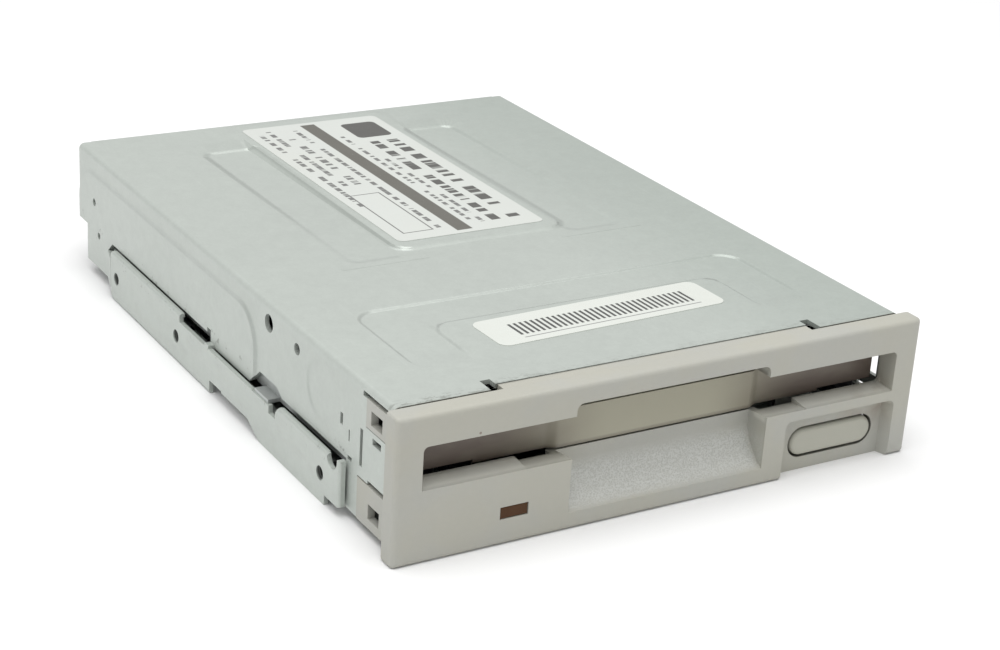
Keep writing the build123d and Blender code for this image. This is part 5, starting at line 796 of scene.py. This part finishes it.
FINISHES = {
    "frame": frame_steel("frame zinc", rgb(0.458, 0.492, 0.458)),
    "bezel": bezel_plastic("bezel plastic", rgb(0.407, 0.402, 0.350), rgb(0.425, 0.430, 0.395)),
    "button": moulding("button plastic", rgb(0.430, 0.428, 0.365)),
    "door": door_plastic("door plastic", rgb(0.365, 0.350, 0.268)),
    "lens": tinted_lens("smoky lens", rgb(0.068, 0.028, 0.008), shine=0.2),
    "lamp": tinted_lens("lamp resin", rgb(0.30, 0.42, 0.16)),
    "large_paper": paper("large label paper", rgb(0.555, 0.575, 0.545), at(*LARGE_LABEL), 0.0, large_print),
    "narrow_paper": paper("narrow label paper", rgb(0.60, 0.62, 0.58), at(*NARROW_LABEL),
                          math.radians(NARROW_TURN), narrow_print),
    "deck": sheet_steel("deck zinc", rgb(0.50, 0.52, 0.51)),
    "slide": sheet_steel("slide zinc", rgb(0.54, 0.55, 0.53)),
    "holder": sheet_steel("holder zinc", rgb(0.56, 0.58, 0.56)),
    "floor": sheet_steel("cover zinc", rgb(0.52, 0.55, 0.52), drift=0.04),
    "lever": sheet_steel("lever zinc", rgb(0.55, 0.55, 0.53)),
    "spring": turned_steel("spring wire", rgb(0.42, 0.42, 0.43)),
    "bright": turned_steel("ground steel", rgb(0.62, 0.62, 0.62)),
    "screws": turned_steel("screw zinc", rgb(0.58, 0.56, 0.50), rough=0.34),
    "carriage": sheet_steel("die cast carriage", rgb(0.45, 0.46, 0.47), rough=0.5, drift=0.06),
    "arm": moulding("arm plastic", rgb(0.030, 0.030, 0.033)),
    "head": moulding("head ceramic", rgb(0.60, 0.57, 0.50), rough=0.25, depth=0.004 * MM),
    "can": sheet_steel("motor can zinc", rgb(0.48, 0.50, 0.49)),
    "rotor": sheet_steel("rotor zinc", rgb(0.52, 0.53, 0.53)),
    "hub": turned_steel("hub steel", rgb(0.55, 0.56, 0.57)),
    "ferrite": moulding("ferrite", rgb(0.035, 0.033, 0.033), rough=0.6),
    "core": moulding("core varnish", rgb(0.035, 0.035, 0.038), rough=0.4),
    "copper": turned_steel("copper wire", rgb(0.55, 0.22, 0.08), rough=0.3),
    "bearing": turned_steel("sintered bronze", rgb(0.50, 0.36, 0.15), rough=0.4),
    "board": circuit_board("board mask", rgb(0.020, 0.105, 0.035), rgb(0.055, 0.19, 0.07)),
    "chips": moulding("chip epoxy", rgb(0.017, 0.017, 0.018), rough=0.55),
    "connector": moulding("connector plastic", rgb(0.014, 0.014, 0.015), rough=0.45),
    "white_plastic": moulding("pale plastic", rgb(0.62, 0.60, 0.52), rough=0.42),
    "contacts": turned_steel("contact plating", rgb(0.68, 0.50, 0.20), rough=0.2),
    "switches": moulding("switch plastic", rgb(0.016, 0.016, 0.018), rough=0.45),
    "ribbon": ribbon_film("ribbon film", rgb(0.30, 0.11, 0.02), rgb(0.42, 0.20, 0.06)),
}


def coat(mesh, slot):
    """Gives a mesh the finish of a slot and no other."""
    mesh.materials.clear()
    mesh.materials.append(FINISHES[slot])


for entry in frame["record"]["subparts"]:
    coat(nodes[entry["node"]].data, entry["material_slot"])


# pieces that stand for a solid and keep its form: with broken edges, or bent between two bodies

SHARP = 40.0                # degrees between faces that meet in an edge


def link(name, data):
    """A new object in the scene."""
    made = bpy.data.objects.new(name, data)
    bpy.context.scene.collection.objects.link(made)
    return made


def smoothed(mesh, sharp):
    """Smooth faces, apart from edges sharper than an angle in degrees."""
    mesh.polygons.foreach_set("use_smooth", [True] * len(mesh.polygons))
    mesh.set_sharp_from_angle(angle=math.radians(sharp))


def settled(piece):
    """Makes the outcome of a piece's modifiers its own plain mesh."""
    seen = piece.evaluated_get(bpy.context.evaluated_depsgraph_get())
    done = bpy.data.meshes.new_from_object(seen)
    piece.modifiers.clear()
    piece.data = done
    return done


def welded(node, cuts=()):
    """The node's own mesh, its triangles joined to flat faces; a cut parts the faces round a hole."""
    shape = bmesh.new()
    shape.from_mesh(nodes[node].data)
    bmesh.ops.remove_doubles(shape, verts=shape.verts, dist=2e-6)
    for axis, place in cuts:
        plane = Vector((0.0, 0.0, 0.0))
        plane[axis] = 1.0
        whole = list(shape.verts) + list(shape.edges) + list(shape.faces)
        cut = bmesh.ops.bisect_plane(
            shape, geom=whole, dist=1e-7, plane_co=plane * place * MM, plane_no=plane)
        for edge in cut["geom_cut"]:
            if isinstance(edge, bmesh.types.BMEdge):
                edge.seam = True
    bmesh.ops.dissolve_limit(shape, angle_limit=math.radians(0.6), verts=shape.verts, edges=shape.edges,
                             delimit={"SEAM"})
    mesh = bpy.data.meshes.new(node + "_finished")
    shape.to_mesh(mesh)
    shape.free()
    return mesh


def broken_edges(node, body, slot, width, segments=2, cuts=()):
    """The node's own form with narrow rounded edges, for the light to catch."""
    mesh = welded(node, cuts)
    piece = link(node + "_finished", mesh)
    rounding = piece.modifiers.new("rounding", "BEVEL")
    rounding.width = width * MM
    rounding.segments = segments
    rounding.limit_method = "ANGLE"
    rounding.angle_limit = math.radians(SHARP)
    rounding.use_clamp_overlap = True
    rounding.miter_outer = "MITER_ARC"
    weighted = piece.modifiers.new("weighted", "WEIGHTED_NORMAL")
    weighted.keep_sharp = True
    smoothed(mesh, SHARP)
    coat(settled(piece), slot)
    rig.ride(piece, body)
    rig.replaces(piece, node)
    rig.slot(piece, slot)


def flexed(node, slot, first, last, start, stop):
    """The node's own form, which follows one body up to a point and another beyond the next."""
    mesh = welded(node)
    smoothed(mesh, SHARP)
    coat(mesh, slot)
    piece = link(node + "_finished", mesh)
    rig.slot(piece, slot)
    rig.replaces(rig.blend(piece, first, last, start, stop), node)


def ribbon_and_wrapped_springs():
    """The head's ribbon, and the wire springs of the lever and the flap, which turn about their pins."""
    start, stop = RIBBON_BEND
    flexed("head_cable", "ribbon", "carriage", "chassis", at(*start), at(*stop))
    x, depth, z = LEVER_PIN
    start, stop = at(x + LEVER_WRAP, depth, z), at(x, depth + LEVER_WRAP, z)
    flexed("lever_spring", "spring", "holder", "lever", start, stop)
    x, depth, z = DOOR_PIN
    start, stop = at(x, depth, z + DOOR_WRAP), at(x, depth + DOOR_WRAP, z)
    flexed("door_spring", "spring", "chassis", "door", start, stop)


# pieces that repeat or follow a path, grown by geometry node groups


def geometry_group(name, others=(), **sizes):
    """An empty group for a piece that is set at each given point; its sizes are in millimetres."""
    lengths = [(label.replace("_", " "), FLOAT, size * MM) for label, size in sizes.items()]
    tree, enter, leave = new_group(
        name, [("Places", SHAPE, None), *lengths, *others, ("Finish", FINISH, None)],
        [("Pieces", SHAPE)], "GeometryNodeTree")
    return tree, Wires(tree), enter, leave


def set_out(w, enter, leave, shape, spin=None):
    """Ends a group: its shape at every place, as one real mesh with its finish."""
    turn = w.add("GeometryNodeInputNamedAttribute", data_type="FLOAT_VECTOR")
    turn.inputs["Name"].default_value = "turn"
    placed = w.make("GeometryNodeInstanceOnPoints", Points=enter["Places"], Instance=shape,
                    Rotation=turn.outputs[0])
    if spin is not None:
        placed = w.make("GeometryNodeRotateInstances", Instances=placed, Rotation=spin)
    real = w.make("GeometryNodeRealizeInstances", Geometry=placed)
    w.put(w.make("GeometryNodeSetMaterial", Geometry=real, Material=enter["Finish"]), leave["Pieces"])


def merge(w, *shapes):
    """Several shapes as one."""
    node = w.add("GeometryNodeJoinGeometry")
    for shape in shapes:
        w.put(shape, node.inputs[0])
    return node.outputs[0]


def lift(w, shape, height):
    """A shape moved along Z."""
    where = w.make("ShaderNodeCombineXYZ", Z=height)
    return w.make("GeometryNodeTransform", Geometry=shape, Translation=where)


def rod(w, radius, length, sides):
    """A plain rod from zero up along Z."""
    solid = w.make("GeometryNodeMeshCylinder", Vertices=sides, Radius=radius, Depth=length)
    return lift(w, solid, w.math("MULTIPLY", length, 0.5))


def swept(w, path, section):
    """A section drawn along a path, closed at both ends."""
    return w.make("GeometryNodeCurveToMesh", Curve=path, Profile_Curve=section, Fill_Caps=True)


def winding(w, turns, radius, height, wire, sides=8, steps=20):
    """Wire wound round Z from zero up."""
    path = w.make("GeometryNodeCurveSpiral", Resolution=steps, Rotations=turns, Start_Radius=radius,
                  End_Radius=radius, Height=height)
    section = w.make("GeometryNodeCurvePrimitiveCircle", Resolution=sides, Radius=wire)
    return swept(w, path, section)


def cross_screw():
    """A pan head screw with a cross recess; the head stands up, the shank hangs down."""
    tree, w, enter, leave = geometry_group(
        "cross screw", [("Seed", WHOLE, 7)],
        Head_radius=2.3, Head_height=0.7, Shank_radius=1.2, Shank_length=3.0)
    radius, height, length = enter["Head radius"], enter["Head height"], enter["Shank length"]
    # shares of the head: its top, the length and width of the recess, and the middle of its height
    top, reach, width, level = 0.82, 1.15, 0.26, 0.9
    head = w.make("GeometryNodeMeshCone", Vertices=32, Radius_Top=w.math("MULTIPLY", radius, top),
                  Radius_Bottom=radius, Depth=height)
    long, narrow = w.math("MULTIPLY", radius, reach), w.math("MULTIPLY", radius, width)
    recess = w.add("GeometryNodeMeshBoolean", operation="DIFFERENCE", solver="EXACT")
    w.put(head, recess.inputs["Mesh 1"])
    for x, y in ((long, narrow), (narrow, long)):
        bar = w.make("GeometryNodeMeshCube", Size=w.make("ShaderNodeCombineXYZ", X=x, Y=y, Z=height))
        w.put(lift(w, bar, w.math("MULTIPLY", height, level)), recess.inputs["Mesh 2"])
    shank = w.make("GeometryNodeMeshCylinder", Vertices=16, Radius=enter["Shank radius"], Depth=length)
    shank = lift(w, shank, w.math("MULTIPLY", length, -0.5))
    chance = w.add("FunctionNodeRandomValue", data_type="FLOAT")
    chance.inputs["Max"].default_value = math.pi / 2
    angle = next(s for s in chance.outputs if s.enabled)
    w.put(enter["Seed"], chance.inputs["Seed"])
    spin = w.make("ShaderNodeCombineXYZ", Z=angle)
    set_out(w, enter, leave, merge(w, recess.outputs["Mesh"], shank), spin)
    return tree


def pull_spring():
    """A close coil with a straight length of wire at each end, along Z."""
    tree, w, enter, leave = geometry_group(
        "pull spring", [("Turns", FLOAT, 30.0)], Radius=1.3, Length=20.0, Wire=0.3, Hook=2.6)
    coil = winding(w, enter["Turns"], enter["Radius"], enter["Length"], enter["Wire"])
    first, last = (
        lift(w, rod(w, enter["Wire"], enter["Hook"], 8), height)
        for height in (w.math("MULTIPLY", enter["Hook"], -1.0), enter["Length"]))
    set_out(w, enter, leave, merge(w, coil, first, last))
    return tree


def hole_thread():
    """The thread inside a tapped hole, along Z."""
    tree, w, enter, leave = geometry_group(
        "hole thread", [("Turns", FLOAT, 4.0)], Radius=1.2, Length=1.8, Ridge=0.12)
    thread = winding(w, enter["Turns"], enter["Radius"], enter["Length"], enter["Ridge"], 4, 28)
    set_out(w, enter, leave, thread)
    return tree


def feed_screw():
    """The head's lead screw: a core with one thread, a front neck and a tail into the motor, along Z."""
    tree, w, enter, leave = geometry_group(
        "feed screw", Core=1.5, Length=18.0, Pitch=3.0, Ridge=0.25, Neck_radius=0.9, Neck_length=1.7,
        Tail_radius=1.2, Tail_length=4.5)
    core = rod(w, enter["Core"], enter["Length"], 28)
    turns = w.math("DIVIDE", enter["Length"], enter["Pitch"])
    thread = winding(w, turns, enter["Core"], enter["Length"], enter["Ridge"], 8, 40)
    # the neck and the tail reach a little into the core
    neck = lift(w, rod(w, enter["Neck radius"], enter["Neck length"], 20),
                w.math("MULTIPLY", enter["Neck length"], -0.95))
    tail = lift(w, rod(w, enter["Tail radius"], enter["Tail length"], 20),
                w.math("SUBTRACT", enter["Length"], 0.1 * MM))
    set_out(w, enter, leave, merge(w, core, thread, neck, tail))
    return tree


def chip_leg():
    """A flat leg that leaves a chip along X, bends down and lies on the board."""
    tree, w, enter, leave = geometry_group("chip leg", Height=0.9, Reach=1.2, Width=0.36, Thick=0.14)
    foot = w.math("MULTIPLY", enter["Thick"], 0.6)
    bend = w.math("MULTIPLY", enter["Reach"], 0.5)
    path = w.make(
        "GeometryNodeCurvePrimitiveBezierSegment", Resolution=8,
        Start=w.make("ShaderNodeCombineXYZ", X=-0.3 * MM, Z=enter["Height"]),
        Start_Handle=w.make("ShaderNodeCombineXYZ", X=bend, Z=enter["Height"]),
        End_Handle=w.make("ShaderNodeCombineXYZ", X=w.math("MULTIPLY", bend, 0.4), Z=foot),
        End=w.make("ShaderNodeCombineXYZ", X=enter["Reach"], Z=foot))
    section = w.make("GeometryNodeCurvePrimitiveQuadrilateral", Width=enter["Thick"], Height=enter["Width"])
    set_out(w, enter, leave, swept(w, path, section))
    return tree


def solder_joint():
    """A cone of solder with the cut end of its pin, up along Z."""
    tree, w, enter, leave = geometry_group("solder joint", Radius=0.8, Height=0.5, Pin=0.3, Stub=0.8)
    cone = w.make("GeometryNodeMeshCone", Vertices=14, Radius_Top=enter["Pin"],
                  Radius_Bottom=enter["Radius"], Depth=enter["Height"])
    set_out(w, enter, leave, merge(w, cone, rod(w, enter["Pin"], enter["Stub"], 8)))
    return tree


def grow(name, tree, places, slot, **sizes):
    """One plain mesh with the group's piece at each place: across, depth, up, and a turn in degrees."""
    mesh = bpy.data.meshes.new(name)
    mesh.from_pydata([at(*place[:3]) for place in places], [], [])
    turns = mesh.attributes.new("turn", "FLOAT_VECTOR", "POINT")
    turns.data.foreach_set("vector", [math.radians(a) for place in places for a in place[3]])
    piece = link(name, mesh)
    maker = piece.modifiers.new(name, "NODES")
    maker.node_group = tree
    values = {label.replace("_", " ").capitalize(): value for label, value in sizes.items()}
    values["Finish"] = FINISHES[slot]
    for socket in tree.interface.items_tree:
        if socket.in_out == "INPUT" and socket.name in values:
            maker[socket.identifier] = values[socket.name]
    smoothed(settled(piece), 38.0)
    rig.slot(piece, slot)
    return piece


SIDES = (-1, 1)
DOWN, BACK = (180, 0, 0), (-90, 0, 0)       # turns that point a piece down or to the rear


def mirrored(across, depths, height, turn=DOWN):
    """The same places on both sides."""
    return [(side * across, depth, height, turn) for side in SIDES for depth in depths]


def spread(count, step):
    """Places along a row that is centred on zero."""
    return [(k - (count - 1) / 2) * step for k in range(count)]


def screws():
    """Cross head screws under the cover and under the two boards."""
    tree = cross_screw()
    places = mirrored(*COVER_SCREWS)
    piece = grow("bottom_screws_finished", tree, places, "screws", shank_length=3.0 * MM, seed=3)
    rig.replaces(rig.ride(piece, "chassis"), "bottom_screws")
    places = mirrored(*MOTOR_BOARD_SCREWS) + mirrored(*MAIN_BOARD_SCREWS)
    piece = grow("board_screws_finished", tree, places, "screws", shank_length=3.4 * MM, seed=11)
    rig.replaces(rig.ride(piece, "chassis"), "board_screws")


def threads_and_springs():
    """Threads of the side holes, the lead screw and the two pull springs."""
    holes = [(side * RAIL_FACE_X, depth, RAIL_HOLE_Z, (0, -90 * side, 0))
             for side in SIDES for depth in RAIL_HOLES]
    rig.ride(grow("hole_threads", hole_thread(), holes, "frame"), "chassis")
    piece = grow("lead_screw_finished", feed_screw(), [(*FEED_SCREW, BACK)], "bright")
    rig.replaces(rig.ride(piece, "screw"), "lead_screw")
    places = mirrored(PULL_X, (PULL_D,), PULL_Z, BACK)
    piece = grow("slide_springs_finished", pull_spring(), places, "spring", length=20.3 * MM)
    start, stop = (at(0, depth, PULL_Z) for depth in PULL_STRETCH)
    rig.replaces(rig.blend(piece, "chassis", "slide", start, stop), "slide_springs")


def board_details():
    """Legs of the three chips and the solder joints of both connectors."""
    legs = []
    for along in spread(16, 0.8):
        legs.append((BIG_CHIP_X + BIG_CHIP_HALF, BIG_CHIP_D + along, BOARD_TOP, (0, 0, 0)))
        legs.append((BIG_CHIP_X - BIG_CHIP_HALF, BIG_CHIP_D + along, BOARD_TOP, (0, 0, 180)))
        legs.append((BIG_CHIP_X + along, BIG_CHIP_D + BIG_CHIP_HALF, BOARD_TOP, (0, 0, 90)))
        legs.append((BIG_CHIP_X + along, BIG_CHIP_D - BIG_CHIP_HALF, BOARD_TOP, (0, 0, -90)))
    for x in SMALL_CHIP_XS:
        for along in spread(7, 1.27):
            legs.append((x + along, SMALL_CHIP_D + SMALL_CHIP_HALF, BOARD_TOP, (0, 0, 90)))
            legs.append((x + along, SMALL_CHIP_D - SMALL_CHIP_HALF, BOARD_TOP, (0, 0, -90)))
    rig.ride(grow("chip_legs", chip_leg(), legs, "contacts"), "chassis")
    joints = [(DATA_X + along, depth, BOARD_UNDER, DOWN)
              for along in spread(17, 2.54) for depth in DATA_ROWS]
    joints += [(POWER_X + along, POWER_ROW, BOARD_UNDER, DOWN) for along in spread(4, 2.5)]
    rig.ride(grow("solder_joints", solder_joint(), joints, "bright"), "chassis")


broken_edges("bezel", "chassis", "bezel", 0.42, segments=3, cuts=LENS_CUTS)
broken_edges("eject_button", "slide", "button", 0.22)
broken_edges("dust_door", "door", "door", 0.15)
broken_edges("top_frame", "chassis", "frame", 0.10)
broken_edges("bottom_cover", "chassis", "floor", 0.10)
broken_edges("data_connector", "chassis", "connector", 0.12)
broken_edges("power_connector", "chassis", "white_plastic", 0.15)
broken_edges("stepper_motor", "chassis", "can", 0.15)
screws()
threads_and_springs()
board_details()
ribbon_and_wrapped_springs()


# stage: a pale floor, soft light and the camera

FLOOR_HALF = 4.0            # metres
FLOOR_GAP = 0.02 * MM       # floor to the underside of the drive
SKY = 0.58                  # strength of the even light from all round
CAMERA = {"azimuth": -31.8495, "elevation": 22.834, "roll": 3.6768,
          "distance": 391.6761, "target": (3.1498, 60.0, 8.3084), "lens": 75.985}


def pale_floor():
    corners = ((-1, -1), (1, -1), (1, 1), (-1, 1))
    mesh = bpy.data.meshes.new("floor")
    mesh.from_pydata([(x * FLOOR_HALF, y * FLOOR_HALF, 0) for x, y in corners], [], [(0, 1, 2, 3)])
    floor = link("floor", mesh)
    floor.location.z = -FLOOR_GAP
    made, w, shader = finish("floor paper", Specular_IOR_Level=0.1, Roughness=0.9)
    w.put(w.uneven(rgb(0.84, 0.84, 0.84), amount=0.01, scale=4.0), shader["Base Color"])
    mesh.materials.append(made)
    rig.stage(floor)


def soft_light(name, place, target, size, power):
    lamp = bpy.data.lights.new(name, "AREA")
    lamp.shape = "RECTANGLE"
    lamp.size, lamp.size_y = size
    lamp.energy = power
    stand = link(name, lamp)
    stand.location = place
    stand.rotation_euler = (Vector(target) - Vector(place)).to_track_quat("-Z", "Y").to_euler()


def studio():
    world = bpy.data.worlds.new("studio")
    world.use_nodes = True
    back = world.node_tree.nodes["Background"]
    back.inputs["Color"].default_value = (1.0, 1.0, 1.0, 1.0)
    back.inputs["Strength"].default_value = SKY
    bpy.context.scene.world = world
    soft_light("overhead", place=(-0.12, -0.08, 0.9), target=(0, 0, 0), size=(1.0, 1.0), power=9.3)
    soft_light("left", place=(-0.9, 0.15, 0.45), target=(0, 0, 0.01), size=(0.8, 0.6), power=0.45)
    bpy.context.scene.view_settings.view_transform = "Standard"


def photo_camera():
    az, el, roll = (math.radians(CAMERA[k]) for k in ("azimuth", "elevation", "roll"))
    back = Vector((math.sin(az) * math.cos(el), -math.cos(az) * math.cos(el), math.sin(el)))
    right = (-back).cross(Vector((0, 0, 1))).normalized()
    up = right.cross(-back)
    across = right * math.cos(roll) + up * math.sin(roll)
    upright = up * math.cos(roll) - right * math.sin(roll)
    eye = at(*CAMERA["target"]) + back * CAMERA["distance"] * MM
    lens = bpy.data.cameras.new("photo camera")
    lens.lens = CAMERA["lens"]
    lens.sensor_width = 36.0
    lens.sensor_fit = "HORIZONTAL"
    lens.clip_start = 0.01
    camera = link("photo camera", lens)
    camera.matrix_world = Matrix.Translation(eye) @ Matrix((across, upright, back)).transposed().to_4x4()
    bpy.context.scene.camera = camera


pale_floor()
studio()
photo_camera()

seen_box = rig.bounds()
with open("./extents.json", "w") as out:
    json.dump({"cad": [list(c) for c in cad_box], "visual": [list(c) for c in seen_box]}, out)
